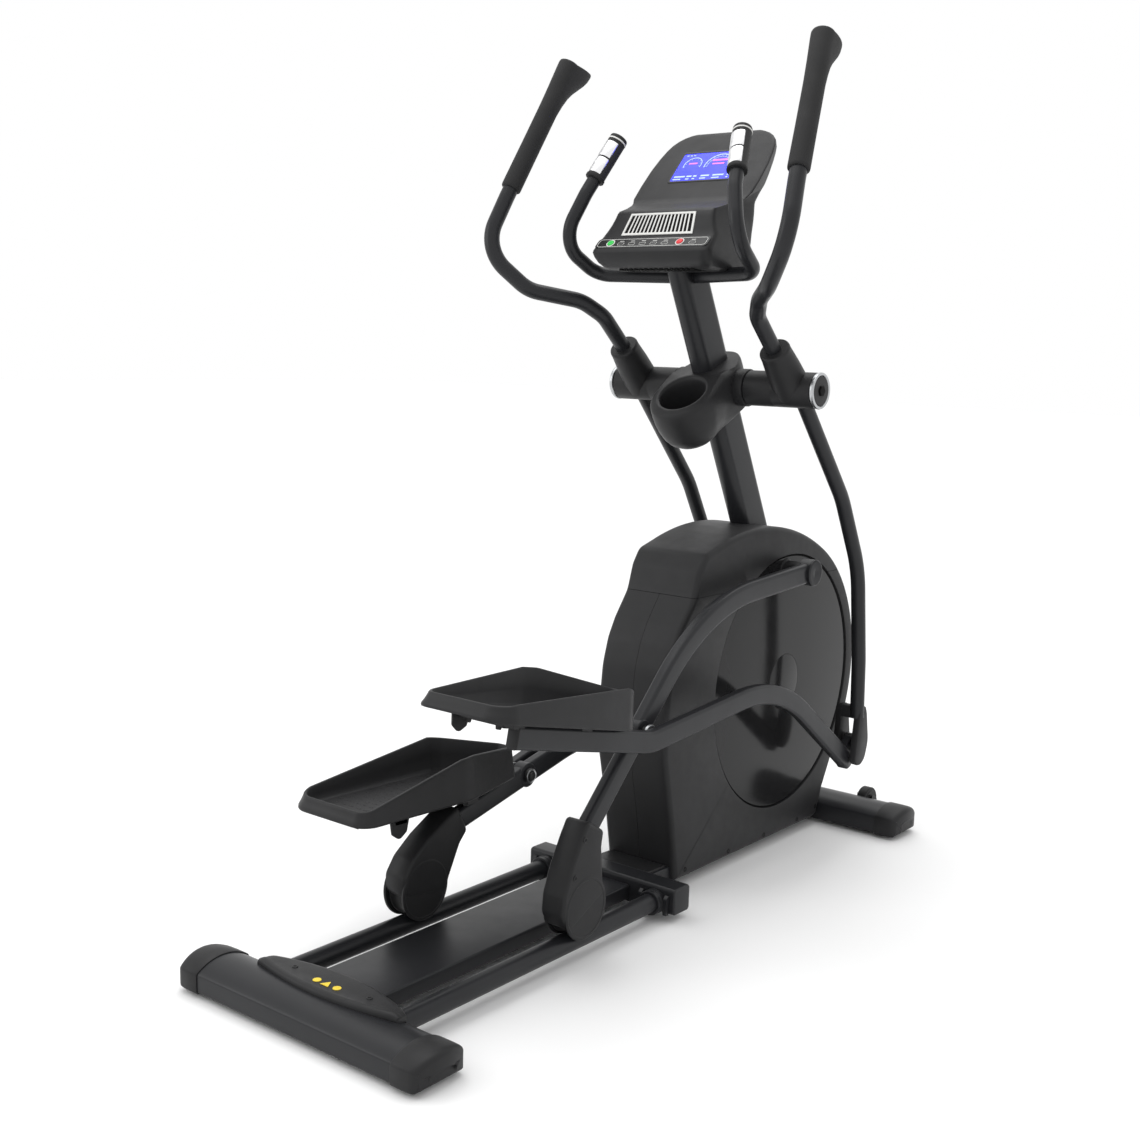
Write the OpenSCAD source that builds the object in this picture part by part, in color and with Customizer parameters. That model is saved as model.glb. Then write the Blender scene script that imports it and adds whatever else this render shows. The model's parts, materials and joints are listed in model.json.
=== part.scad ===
// Elliptical trainer: front crank, two roller arms on floor rails, swinging handlebars.
// Millimetres. +X is the user's right, +Y is the way the user faces, +Z is up.
// Stations along Y are measured from the rear edge, and the whole model is then centred.

/* [Overall] */
// Length over the rear caps and the transport wheels
overall_length = 1744; // [1744:1:1744]
// Diameter steps for round shapes
round_steps = 48; // [24:8:96]

/* [Crank] */
// Distance from the crank centre to the crank pin
crank_radius = 258; // [250:1:262]
// Angle of the right crank at rest, from level and forward
crank_rest = 93.5; // [90:0.5:97]
// Station of the crank centre
crank_y = 1385; // [1380:1:1390]
// Height of the crank centre
crank_z = 384; // [380:1:388]

/* [Roller arms] */
// Distance from the roller axle to the crank pin
arm_length = 965; // [955:1:975]
// Height of the roller axle
roller_z = 105; // [105:1:105]
// Height of the arm's tube
arm_tube_h = 44; // [40:1:46]
// Width of the arm's tube
arm_tube_w = 26; // [24:1:28]

/* [Pedals] */
// Length of the pedal tray on its inner side
pedal_length = 462; // [440:1:470]
// Wall of the pedal tray
pedal_wall = 5; // [4:0.5:6]

/* [Swing arms] */
// Station of the swing axle
swing_y = 1175; // [1175:1:1175]
// Height of the swing axle
swing_z = 1040; // [1040:1:1040]
// Distance from the swing axle to the lower pivot
swing_radius = 884.7; // [882:0.1:888]
// Distance from the knee pivot to the lower pivot
link_length = 813.6; // [811:0.1:816]
// Radius of the handlebar tube
bar_r = 16; // [15:0.5:17]

/* [Frame] */
// Radius of a rail
rail_r = 19; // [19:0.5:19]
// Sideways place of each rail
rail_x = 139; // [139:1:139]
// Half width of the housing
housing_half = 88; // [86:1:88]
// Backward lean of the mast from upright
mast_lean = 28.5; // [28.5:0.5:28.5]

/* [Hidden] */
$fn = round_steps;
wall = 3;
seam = 0.05;
plug = 5;
crank_c = [crank_y, crank_z];
swing_c = [swing_y, swing_z];
crank_out = 124.5;
arm_in = 126;
arm_mid = rail_x;
arm_out = arm_in + arm_tube_w;
knee_local = [312, 146];
link_in = 170;
link_w = 24;
link_h = 42;
link_mid = link_in + link_w / 2;
pin_r = 8;
pin_bore_r = 8.05;
axle_r = 15;
axle_bore_r = 15.05;
disc_r = 286;
disc_opening_r = 290;
rail_z = 38;
beam_half = 75;
flywheel_c = [1130, 300];

// ---- Linkage, worked out in the side plane as [station, height] ----

function turn(p, a) = [p[0] * cos(a) - p[1] * sin(a), p[0] * sin(a) + p[1] * cos(a)];
function crank_pin(a) = crank_c + crank_radius * [cos(a), sin(a)];
function arm_angle(a) = asin((crank_pin(a)[1] - roller_z) / arm_length);
function roller_y(a) = crank_pin(a)[0] - arm_length * cos(arm_angle(a));
function knee(a) = [roller_y(a), roller_z] + turn(knee_local, arm_angle(a));
function swing_angle(a) =
    let (d = knee(a) - swing_c, far = norm(d))
    atan2(d[0], -d[1])
        + acos((far * far + swing_radius * swing_radius - link_length * link_length)
            / (2 * far * swing_radius));
function swing_pin(a) = swing_c + swing_radius * [sin(swing_angle(a)), -cos(swing_angle(a))];
function link_angle(a) =
    let (d = swing_pin(a) - knee(a)) atan2(d[1], d[0]);
// Crank angle at rest on each side: side is 1 on the right and -1 on the left
function rest(side) = side > 0 ? crank_rest : crank_rest + 180;

// ---- Placing helpers ----

// Moves stations so that the origin is at mid length, on the floor
module centred() translate([0, -overall_length / 2, 0]) children();

// Mirrors a right-hand piece to its own side
module on_side(side) mirror([side < 0 ? 1 : 0, 0, 0]) children();

// Extrudes a side-plane outline from x0 to x1
module across(x0, x1) translate([x0, 0, 0]) rotate([90, 0, 90]) linear_extrude(x1 - x0) children();

// A round bar along X at side-plane point p
module bar_x(p, r, x0, x1) translate([x0, p[0], p[1]]) rotate([0, 90, 0]) cylinder(r = r, h = x1 - x0);

// Places a side-plane piece at point p, turned by angle a
module posed(p, a) translate([0, p[0], p[1]]) rotate([a, 0, 0]) children();

// Rectangle with round corners, centred
module round_rect(a, b, r) {
    square([a - 2 * r, b], center = true);
    square([a, b - 2 * r], center = true);
    for (i = [-1, 1], j = [-1, 1]) translate([i * (a / 2 - r), j * (b / 2 - r)]) circle(r = r);
}

// Wall section of a rectangular tube
module tube_section(a, b, r, thick) difference() {
    round_rect(a, b, r);
    round_rect(a - 2 * thick, b - 2 * thick, r - thick);
}

// ---- Bent tubes ----

function unit(v) = v / norm(v);
function heading(p, q) = atan2(q[1] - p[1], q[0] - p[0]);
function wrap(a) = a > 180 ? a - 360 : a < -180 ? a + 360 : a;

// Sweeps 2D child 0 (x is height, y is width) along side-plane points with bend radii; short
// lengths of 2D child 1 plug the tube at each end of a bend
module side_path(pts, bends, x) {
    n = len(pts);
    head = [for (i = [0 : n - 2]) heading(pts[i], pts[i + 1])];
    bend = [for (i = [0 : n - 1]) i == 0 || i == n - 1 ? 0 : wrap(head[i] - head[i - 1])];
    back = [for (i = [0 : n - 1]) bends[i] * tan(abs(bend[i]) / 2)];
    for (i = [0 : n - 2]) {
        reach = norm(pts[i + 1] - pts[i]) - back[i] - back[i + 1];
        translate([x, pts[i][0], pts[i][1]]) rotate([90, 0, 90]) rotate([0, 0, head[i]])
            translate([back[i], 0, 0]) rotate([90, 0, 90]) {
                translate([0, 0, i > 0 ? seam : 0])
                    linear_extrude(reach - (i > 0 ? seam : 0) - (i < n - 2 ? seam : 0)) children(0);
                if (i > 0) translate([0, 0, -plug]) linear_extrude(2 * plug) children(1);
                if (i < n - 2) translate([0, 0, reach - plug]) linear_extrude(2 * plug) children(1);
            }
    }
    for (i = [1 : n - 2]) {
        left = bend[i] > 0 ? 1 : -1;
        start = pts[i] - [cos(head[i - 1]), sin(head[i - 1])] * back[i];
        c = start + left * bends[i] * [-sin(head[i - 1]), cos(head[i - 1])];
        first = left > 0 ? head[i - 1] - 90 : head[i - 1] + 90 - abs(bend[i]);
        translate([x, c[0], c[1]]) rotate([90, 0, 90]) rotate([0, 0, first])
            rotate_extrude(angle = abs(bend[i])) translate([bends[i], 0]) children(0);
    }
}

// A round rod from p to q
module rod(p, q, r) {
    d = q - p;
    translate(p) rotate([0, acos(d[2] / norm(d)), atan2(d[1], d[0])]) cylinder(r = r, h = norm(d));
}

// A round bar through 3D points with bend radii at the inner ones; a plug joins each bend on
module bent_rod(pts, bends, r) {
    n = len(pts);
    dir = [for (i = [0 : n - 2]) unit(pts[i + 1] - pts[i])];
    bend = [for (i = [0 : n - 1]) i == 0 || i == n - 1 ? 0 : acos(dir[i] * dir[i - 1])];
    back = [for (i = [0 : n - 1]) bends[i] * tan(bend[i] / 2)];
    for (i = [0 : n - 2]) {
        p = pts[i] + dir[i] * back[i];
        q = pts[i + 1] - dir[i] * back[i + 1];
        rod(p + dir[i] * (i > 0 ? seam : 0), q - dir[i] * (i < n - 2 ? seam : 0), r);
        if (i > 0) rod(p - dir[i] * plug, p + dir[i] * plug, r - 2);
        if (i < n - 2) rod(q - dir[i] * plug, q + dir[i] * plug, r - 2);
    }
    for (i = [1 : n - 2]) {
        start = pts[i] - dir[i - 1] * back[i];
        z = unit(cross(dir[i - 1], dir[i]));
        x = cross(dir[i - 1], z);
        c = start - x * bends[i];
        multmatrix([
            [x[0], dir[i - 1][0], z[0], c[0]],
            [x[1], dir[i - 1][1], z[1], c[1]],
            [x[2], dir[i - 1][2], z[2], c[2]],
            [0, 0, 0, 1]]) rotate_extrude(angle = bend[i]) translate([bends[i], 0]) circle(r = r);
    }
}

// ---- Base frame ----

rear_end = 60;
front_stab_y = 1645;
rear_stab_y = 57.5;
stab_depth = 111;
stab_half = 233;
cap_half = 292;
cross_y = 855;
rear_top = 62;
front_top = 68;

// Stabilizer section: flat faces with a crowned top; grow adds to every side
module stab_section(top, grow) {
    crown = 19;
    half = stab_depth / 2;
    r = (half * half + crown * crown) / (2 * crown);
    intersection() {
        translate([-half - grow, 9 - 2 * grow]) square([stab_depth + 2 * grow, top]);
        translate([0, top - r]) circle(r = r + grow, $fn = 96);
    }
}

module stab_tube(y, top) translate([0, y, 0]) difference() {
    across(-stab_half, stab_half) stab_section(top, 0);
    across(-stab_half - 1, stab_half + 1) stab_section(top - 3, -3);
}

// End cap: a plug in the tube's end and a cover with a rounded outer end
module stab_cap(y, top) translate([0, y, 0]) {
    intersection() {
        across(stab_half, cap_half) stab_section(top, 2);
        translate([cap_half - 103, 0, 0]) cylinder(r = 103, h = 2 * top, $fn = 96);
    }
    across(stab_half - 30, stab_half) stab_section(top - 3.3, -3.3);
}

module rear_stabilizer() color("#2b2c30") centred() stab_tube(rear_stab_y, rear_top);

// The front tube has a well for each transport wheel
module front_stabilizer() color("#2b2c30") centred() difference() {
    stab_tube(front_stab_y, front_top);
    for (side = [-1, 1]) on_side(side) bar_x(wheel_c, 38, wheel_x - 16, wheel_x + 16);
}

module rear_caps() color("#333437") centred()
    for (side = [-1, 1]) on_side(side) stab_cap(rear_stab_y, rear_top);
module front_caps() color("#333437") centred()
    for (side = [-1, 1]) on_side(side) stab_cap(front_stab_y, front_top);

module feet() color("#1c1c1d") centred()
    for (side = [-1, 1], y = [rear_stab_y, front_stab_y])
        translate([side * 180, y, 0]) {
            cylinder(r = 20, h = 5);
            translate([0, 0, 5]) cylinder(r = 15, h = 4);
        }

beam_z = 24;
beam_h = 30;
beam_front = front_stab_y - stab_depth / 2;
beam_rear = rear_stab_y + stab_depth / 2;

module main_beam() color("#2b2c30") centred() difference() {
    translate([-beam_half, beam_rear, beam_z]) cube([2 * beam_half, beam_front - beam_rear, beam_h]);
    translate([-beam_half + wall, beam_rear - 1, beam_z + wall])
        cube([2 * (beam_half - wall), beam_front - beam_rear + 2, beam_h - 2 * wall]);
}

module rails() color("#2b2c30") centred() for (side = [-1, 1]) difference() {
    translate([side * rail_x, beam_rear, rail_z]) rotate([-90, 0, 0])
        cylinder(r = rail_r, h = cross_y - 27 - beam_rear);
    translate([side * rail_x, beam_rear - 1, rail_z]) rotate([-90, 0, 0])
        cylinder(r = rail_r - wall, h = cross_y - 25 - beam_rear);
}

module cross_member() color("#2b2c30") centred() {
    difference() {
        translate([-185, cross_y - 27, 16]) cube([370, 54, 54]);
        for (side = [-1, 1]) translate([side > 0 ? beam_half + 6 : -182, cross_y - 24, 19])
            cube([182 - beam_half - 6, 48, 48]);
        translate([-beam_half, cross_y - 28, beam_z]) cube([2 * beam_half, 56, beam_h]);
    }
    for (side = [-1, 1]) translate([side * rail_x, cross_y - 49, rail_z]) rotate([-90, 0, 0])
        difference() {
            cylinder(r = rail_r + 6, h = 22);
            translate([0, 0, -1]) cylinder(r = rail_r, h = 24);
        }
}

// Cover over the rear ends of the beam and the rails, with a curved rear lip
module rear_cover() color("#2a2a2d") centred() difference() {
    intersection() {
        translate([-168, 40, beam_z + beam_h]) cube([336, 96, 18]);
        translate([0, 655, 0]) cylinder(r = 600, h = 200, $fn = 180);
        translate([0, -300, 0]) cylinder(r = 436, h = 200, $fn = 180);
    }
    translate([-169, 30, 49]) cube([338, beam_rear - 30, 14]);
    translate([-163, beam_rear - 1, 49]) cube([326, 18, 18]);
    for (side = [-1, 1]) translate([side * 90, 92, 60]) cylinder(r = 3.2, h = 20);
}

wheel_c = [1708, 42];
wheel_x = 150;

module wheel_brackets() color("#2b2c30") centred() for (side = [-1, 1]) on_side(side) difference() {
    union() {
        for (x = [wheel_x - 20, wheel_x + 16]) difference() {
            union() {
                across(x, x + 4) translate([front_stab_y, 24]) square([wheel_c[0] - front_stab_y, 24]);
                bar_x(wheel_c, 18, x, x + 4);
            }
            bar_x(wheel_c, 5.05, x - 1, x + 5);
        }
        bar_x(wheel_c, 5, wheel_x - 23, wheel_x + 23);
        for (x = [wheel_x - 24, wheel_x + 20.2]) bar_x(wheel_c, 7, x, x + 3.8);
    }
    translate([wheel_x - 40, front_stab_y - 40, 0]) cube([80, stab_depth / 2 + 40, 100]);
}

module transport_wheel(side) color("#1d1d1f") centred() on_side(side) difference() {
    union() {
        bar_x(wheel_c, 36, wheel_x - 13, wheel_x + 13);
        bar_x(wheel_c, 10, wheel_x - 15.5, wheel_x + 15.5);
    }
    bar_x(wheel_c, 5.05, wheel_x - 17, wheel_x + 17);
    for (s = [-1, 1]) difference() {
        bar_x(wheel_c, 29, wheel_x + s * 11 - 3, wheel_x + s * 11 + 3);
        bar_x(wheel_c, 11, wheel_x - 15, wheel_x + 15);
    }
}

// ---- Mast and inner frame ----

mast_bottom = 648;
mast_depth = 90;
mast_w = 44;

module along_mast() translate([0, swing_y, swing_z]) rotate([mast_lean, 0, 0]) children();
module mast_section(grow) rotate(90) round_rect(mast_depth + 2 * grow, mast_w + 2 * grow, 14 + grow);

module mast() color("#2b2c30") centred() difference() {
    along_mast() translate([0, 0, -520]) linear_extrude(820) mast_section(0);
    along_mast() translate([0, 0, -521]) linear_extrude(822) mast_section(-wall);
    translate([-60, 900, 0]) cube([120, 900, mast_bottom]);
    bar_x(swing_c, axle_r + 0.1, -60, 60);
    for (s = [-1, 1]) bent_rod(pulse_points(s), pulse_bends, pulse_r + 0.3);
}

module inner_frame() color("#3a3b3e") centred() {
    difference() {
        union() {
            translate([-20, crank_y - 30, beam_z + beam_h]) cube([40, 60, 580]);
            translate([-32, crank_y - 60, mast_bottom - 14]) cube([64, 130, 14]);
            bar_x(crank_c, 34, -30, 26);
        }
        translate([-17, crank_y - 27, beam_z + beam_h - 1]) cube([34, 54, 572]);
        bar_x(crank_c, 26, -31, 27);
    }
    for (x = [-24, 18]) difference() {
        across(x, x + 6) polygon([[1060, beam_z + beam_h], [1200, beam_z + beam_h],
            [flywheel_c[0] + 22, flywheel_c[1]], [flywheel_c[0] + 16, flywheel_c[1] + 24],
            [flywheel_c[0] - 16, flywheel_c[1] + 24], [flywheel_c[0] - 22, flywheel_c[1]]]);
        bar_x(flywheel_c, pin_bore_r, x - 1, x + 7);
    }
}

// ---- Housing ----

front_r = 328;
crown_c = [1262, 155];
crown_r = front_r + norm(crank_c - crown_c);
crown_end = crank_c + front_r * unit(crank_c - crown_c);
toe = [1598, 86];
toe_rise = 62;

// Side outline of the housing, drawn in by d all round
module housing_outline(d) difference() {
    front_low = crank_c + (front_r - d) * [sin(toe_rise), -cos(toe_rise)];
    intersection() {
        polygon([[976 + d, 22 + d], [953 + d, 140], [918 + d, 290], [916 + d, 380],
            [922 + d, 460], [938 + d, 520], [962 + d, 565], [1002 + d, 618],
            [1017 + d, 668], [1036 + d, 699 - d / 2], [1062 + d / 2, 718 - d], [1100, 760],
            [1800, 760], [1800, front_low[1]], front_low, toe + [-0.9 * d, 0.4 * d],
            [1574 - d, 22 + d]]);
        translate(crown_c) circle(r = crown_r - d, $fn = 180);
    }
    difference() {
        translate([crown_end[0] - 0.45 * d, front_low[1]]) square([400, 600]);
        translate(crank_c) circle(r = front_r - d, $fn = 180);
    }
}

// Hollow casing with a round opening for each crank disc and a hole for the mast
module casing() difference() {
    across(-housing_half, housing_half) housing_outline(0);
    across(-housing_half + wall, housing_half - wall) housing_outline(wall);
    bar_x(crank_c, disc_opening_r, -100, 100);
    along_mast() translate([0, 0, -500]) linear_extrude(400) mast_section(0.8);
    translate([-beam_half - 1, 900, 0]) cube([2 * beam_half + 2, 700, beam_z + beam_h + 1]);
}

// Space above the seam at the rear top of the housing
module top_zone(grow) translate([-100, 900, 618 - grow]) cube([200, 262 + grow, 200]);

module housing_shell(side) color("#323335") centred() intersection() {
    difference() {
        casing();
        top_zone(0.5);
    }
    translate([side > 0 ? 0.25 : -100, 800, 0]) cube([99.75, 1000, 900]);
}

module housing_top() color("#363739") centred() intersection() {
    casing();
    top_zone(0);
}

// ---- Swing axle and cup holder ----

module swing_axle() color("#7d7f82") centred() {
    bar_x(swing_c, axle_r, -244, 244);
    for (x = [-250, 243]) bar_x(swing_c, 35, x, x + 7);
    for (x = [-254, 250]) bar_x(swing_c, 10, x, x + 4, $fn = 6);
}

cup_back = 114;
cup_r = 72;
cup_hole_r = 53;

module cup_holder() color("#28292b") centred() difference() {
    union() {
        along_mast() translate([0, 0, -55]) linear_extrude(100) {
            translate([0, -cup_back]) circle(r = cup_r, $fn = 96);
            translate([0, 8]) circle(r = 66, $fn = 96);
            polygon([[-cup_r, -cup_back], [-66, 8], [66, 8], [cup_r, -cup_back]]);
        }
        bar_x(swing_c, 38, -85, 85);
    }
    along_mast() translate([0, 0, -140]) linear_extrude(280) mast_section(0.3);
    along_mast() translate([0, -cup_back, -46]) cylinder(r = cup_hole_r, h = 120, $fn = 96);
    bar_x(swing_c, axle_r + 0.5, -90, 90);
}

// ---- Pulse bar ----

pulse_c = [0, 1057, 1258];
pulse_r = 14;
function pulse_points(s) = [
    pulse_c, [s * 190, 1004, 1260], [s * 206, 902, 1318], [s * 175, 937, 1414], [s * 147, 998, 1519]];
pulse_bends = [0, 45, 62, 60, 0];
pulse_low = pulse_points(1)[3];
pulse_top = pulse_points(1)[4];
pulse_dir = unit(pulse_top - pulse_low);

module pulse_bar() color("#2b2c30") centred()
    for (s = [-1, 1]) bent_rod(pulse_points(s), pulse_bends, pulse_r);

// Places a piece on the straight top of the pulse bar, its Z along the bar and -Y to the user
module on_pulse(side) on_side(side) translate(pulse_low)
    rotate([0, acos(pulse_dir[2]), atan2(pulse_dir[1], pulse_dir[0])])
        rotate([0, 0, -atan2(pulse_dir[1], pulse_dir[0])]) children();

grip_len = norm(pulse_top - pulse_low) + 10;

module pulse_grips() color("#2a2b2d") centred() for (side = [-1, 1]) difference() {
    on_pulse(side) translate([0, 0, 34]) {
        cylinder(r = 19, h = grip_len - 34);
        cylinder(r = 20.5, h = 7);
    }
    on_pulse(side) translate([0, 0, 20]) cylinder(r = pulse_r, h = norm(pulse_top - pulse_low) - 20);
}

module pulse_plates() color("#d9dadb") centred() for (side = [-1, 1], z = [46, 86])
    on_pulse(side) translate([0, 0, z]) rotate([0, 0, -130])
        rotate_extrude(angle = 80) translate([19, 0]) square([1.2, 35]);

// ---- Console ----

lip = [908, 1300];
key_top = [938, 1329];
vent_top = [962, 1376];
ledge = [1040, 1402];
head = [1172, 1546];

// Front outline of the console, half widths against height
console_half = [[118, 1256], [135, 1276], [141, 1298], [141, 1310], [136, 1340], [128, 1376], [136, 1402],
    [143, 1430], [141, 1475], [134, 1509], [128, 1526], [116, 1540], [100, 1547], [84, 1550]];
console_steps = len(console_half) - 1;

module console_front_outline() polygon([
    for (p = console_half) p,
    for (i = [console_steps : -1 : 0]) [-console_half[i][0], console_half[i][1]]]);

module console_trim() translate([0, 1400, 0]) rotate([90, 0, 0]) linear_extrude(600) console_front_outline();

// Face profile moved back by d, closed along the rear outline
module console_profile(d) polygon([
    lip + [d, -d / 2], key_top + [d, -d / 2], vent_top + [d, -d / 2], ledge + [d, -d], head + [d, -d],
    [1202, 1530], [1180, 1490], [1112, 1400], [1098, 1330], [1096, 1258], [940 + d, 1258],
    [916 + d, 1276]]);

module console_front() color("#2c2d2f") centred() difference() {
    intersection() {
        across(-200, 200) difference() {
            console_profile(0);
            console_profile(9);
        }
        console_trim();
    }
    on_face(ledge, head, 89) cube([146, 80, 8], center = true);
    on_face(key_top, vent_top, 27) cube([172, 44, 8], center = true);
    on_face(lip, key_top, 22) cube([264, 30, 4], center = true);
    for (x = button_places) on_face(lip, key_top, 22) translate([x, 0, -20]) cylinder(r = 7.4, h = 30);
    console_neck();
}

module console_back() color("#27282a") centred() difference() {
    intersection() {
        across(-200, 200) console_profile(9.3);
        console_trim();
    }
    console_room();
    for (x = button_places) on_face(lip, key_top, 22) translate([x, 0, -20]) cylinder(r = 7.4, h = 30);
    console_neck();
}

// Hollow inside the console: a wide low part and a narrower part behind the screen
module console_room() {
    across(-121, 121) polygon([[944, 1268], [1088, 1268], [1088, 1330], [1094, 1376], [1020, 1376],
        [986, 1364], [962, 1320], [938, 1286]]);
    across(-102, 102) polygon([[1030, 1370], [1094, 1370], [1104, 1400], [1170, 1490], [1186, 1518],
        [1068, 1402], [1056, 1388]]);
}

module console_neck() {
    along_mast() translate([0, 0, 200]) linear_extrude(101) mast_section(0.3);
    for (s = [-1, 1]) bent_rod(pulse_points(s), pulse_bends, pulse_r + 0.5);
}

// Places a flat piece on a face that runs from p to q, at a distance up it; Z is out of the face
module on_face(p, q, up) {
    a = heading(p, q);
    mid = p + up * [cos(a), sin(a)];
    translate([0, mid[0], mid[1]]) rotate([a, 0, 0]) children();
}

module screen() color("#2a49d8") centred() on_face(ledge, head, 89)
    translate([0, 0, -1.7]) cube([144, 78, 4], center = true);

module grille() color("#e4e4e2") centred() on_face(key_top, vent_top, 27) translate([0, 0, -1.5]) difference() {
    cube([170, 42, 5], center = true);
    for (i = [-9 : 9]) translate([i * 8.2, 0, 0]) cube([3.6, 31, 12], center = true);
}

button_places = [-98, 66];

module keypad() color("#1f2022") centred() on_face(lip, key_top, 22) translate([0, 0, -0.8]) difference() {
    cube([262, 28, 2], center = true);
    for (x = button_places) translate([x, 0, 0]) cylinder(r = 7.4, h = 10, center = true);
}

module button(x) centred() on_face(lip, key_top, 22) translate([x, 0, -3.5]) cylinder(r = 7, h = 6);
module button_start() color("#35c04a") button(button_places[0]);
module button_stop() color("#d02c34") button(button_places[1]);

// ---- Drive inside the housing ----

module crank_shaft() color("#8c8e90") centred() difference() {
    bar_x(crank_c, 10, -79, 79);
    for (x = [-80, 73]) bar_x(crank_c, 3.4, x, x + 7);
}

module crank_bearings() color("#b4b6b8") centred() for (x = [-30, 14]) difference() {
    bar_x(crank_c, 26, x, x + 12);
    bar_x(crank_c, 10.05, x - 1, x + 13);
}

module drive_pulley() color("#8f9194") centred() difference() {
    bar_x(crank_c, 112, 32, 50);
    bar_x(crank_c, 10, 30, 52);
    for (x = [31, 45]) difference() {
        bar_x(crank_c, 100, x, x + 6);
        bar_x(crank_c, 24, x - 1, x + 7);
    }
    difference() {
        bar_x(crank_c, 120, 34, 48);
        bar_x(crank_c, 110, 33, 49);
    }
}

module drive_belt() color("#161617") centred() across(35, 47) difference() {
    hull() {
        translate(crank_c) circle(r = 113);
        translate(flywheel_c) circle(r = 22);
    }
    hull() {
        translate(crank_c) circle(r = 110.4);
        translate(flywheel_c) circle(r = 19.4);
    }
}

module flywheel() color("#6d6f72") centred() {
    difference() {
        bar_x(flywheel_c, 112, -12, 12);
        for (x = [-13, 6]) difference() {
            bar_x(flywheel_c, 92, x, x + 7);
            bar_x(flywheel_c, 26, x - 1, x + 8);
        }
    }
    bar_x(flywheel_c, pin_r, -32, 34);
    bar_x(flywheel_c, 19, 34, 48);
    for (x = [32.5, 48]) bar_x(flywheel_c, 23, x, x + 1.5);
}

module brake() color("#4b4c4f") centred() {
    translate([0, flywheel_c[0], flywheel_c[1]]) rotate([90, 0, 90]) rotate([0, 0, 120])
        rotate_extrude(angle = 100) translate([122, 0]) difference() {
            translate([-8, -18]) square([12, 36]);
            translate([-9, -13.5]) square([9, 27]);
        }
    translate([-10, 996, beam_z + beam_h]) cube([20, 14, 260]);
}

// Crank arm: hub, bar and a boss that comes out through the disc to the crank pin
module crank_arm(side) color("#55575a") centred() on_side(side) difference() {
    c = crank_c;
    pin = crank_pin(rest(side));
    union() {
        bar_x(c, 28, 60, 79);
        posed(c, rest(side)) across(64, 78) translate([0, -18]) square([crank_radius, 36]);
        bar_x(pin, 26, 62, 79);
        bar_x(pin, 20, 79, crank_out);
    }
    bar_x(c, 10, 59, 80);
}

module crank_disc(side) color("#2c2d2f") centred() on_side(side) difference() {
    union() {
        bar_x(crank_c, disc_r, 80, 84.5);
        bar_x(crank_c, 62, 84.5, 85.5);
    }
    bar_x(crank_pin(rest(side)), 20.4, 79, 90);
}

// ---- Roller arms ----

roller_half_w = 17;
cover_in = 113;
cover_out = 165;

module roller_axle(side) color("#8c8e90") centred() on_side(side) {
    p = [roller_y(rest(side)), roller_z];
    bar_x(p, 6, cover_in + 0.5, cover_out - 0.5);
}

// Grooved roller that fits over its rail
module roller(side) color("#2f2f30") centred() on_side(side)
    translate([rail_x, roller_y(rest(side)), roller_z]) rotate([0, 90, 0]) rotate_extrude() difference() {
        translate([6.05, -roller_half_w]) square([54 - 6.05, 2 * roller_half_w]);
        translate([roller_z - rail_z, 0]) circle(r = rail_r + 0.4);
    }

arm_corner = [604, 208];
arm_bend = 470;
arm_start = [70, 94];
cover_r = 60;

// The arm's bent tube, or the same length solid
module arm_path(hollow) side_path([arm_start, arm_corner, [arm_length - 9.6, 5.2]], [0, arm_bend, 0], 0) {
    if (hollow) tube_section(arm_tube_h, arm_tube_w, 8, wall);
    else round_rect(arm_tube_h, arm_tube_w, 8);
    round_rect(arm_tube_h - 4, arm_tube_w - 4, 6);
}

// One bent tube from the roller cover to the crank pin, with a bearing boss at the pin
module roller_arm(side) color("#2c2d31") centred() on_side(side) {
    a = rest(side);
    translate([arm_mid, 0, 0]) posed([roller_y(a), roller_z], arm_angle(a)) difference() {
        union() {
            arm_path(true);
            bar_x([arm_length, 0], 29, arm_in - arm_mid, arm_out - arm_mid + 7);
            bar_x(knee_local, 25, arm_in - arm_mid - 0.7, arm_out - arm_mid + 0.7);
        }
        bar_x(knee_local, pin_bore_r, -30, 30);
    }
}

// Plastic fork cover round the roller: two cheeks joined over the wheel and up the tube
module roller_cover(side) color("#333437") centred() on_side(side) {
    a = rest(side);
    posed([roller_y(a), roller_z], arm_angle(a)) difference() {
        union() {
            bar_x([0, 0], cover_r, cover_in, cover_out);
            across(cover_in, cover_out)
                polygon([[-58, 10], [-55, 38], [-34, 68], [8, 98], [62, 126], [94, 138], [116, 84],
                    [98, 64], [66, 6], [58, -16], [0, -40]]);
        }
        bar_x([0, 0], 56.5, arm_mid - 20, arm_mid + 20);
        across(arm_mid - 20, arm_mid + 20) polygon([[-80, -130], [-80, 0], [56, 0], [130, -130]]);
        translate([arm_mid, 0, 0]) arm_path(false);
        bar_x([0, 0], 6.05, cover_in - 1, cover_out + 1);
    }
}

// ---- Pedal links and pedals, drawn in the link's own frame with the knee at the origin ----

link_rear = [-422, -8];
link_low = [-20, -12.5];
link_peak = [423, 117];
link_front = [796, -45.2];
pedal_tilt = -0.7;
pedal_drop = [0, -13];

module link_path() side_path([link_rear, link_low, link_peak, link_front], [0, 150, 400, 0], 0) {
    tube_section(link_h, link_w, 7, wall);
    round_rect(link_h - 4, link_w - 4, 5);
}

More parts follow.
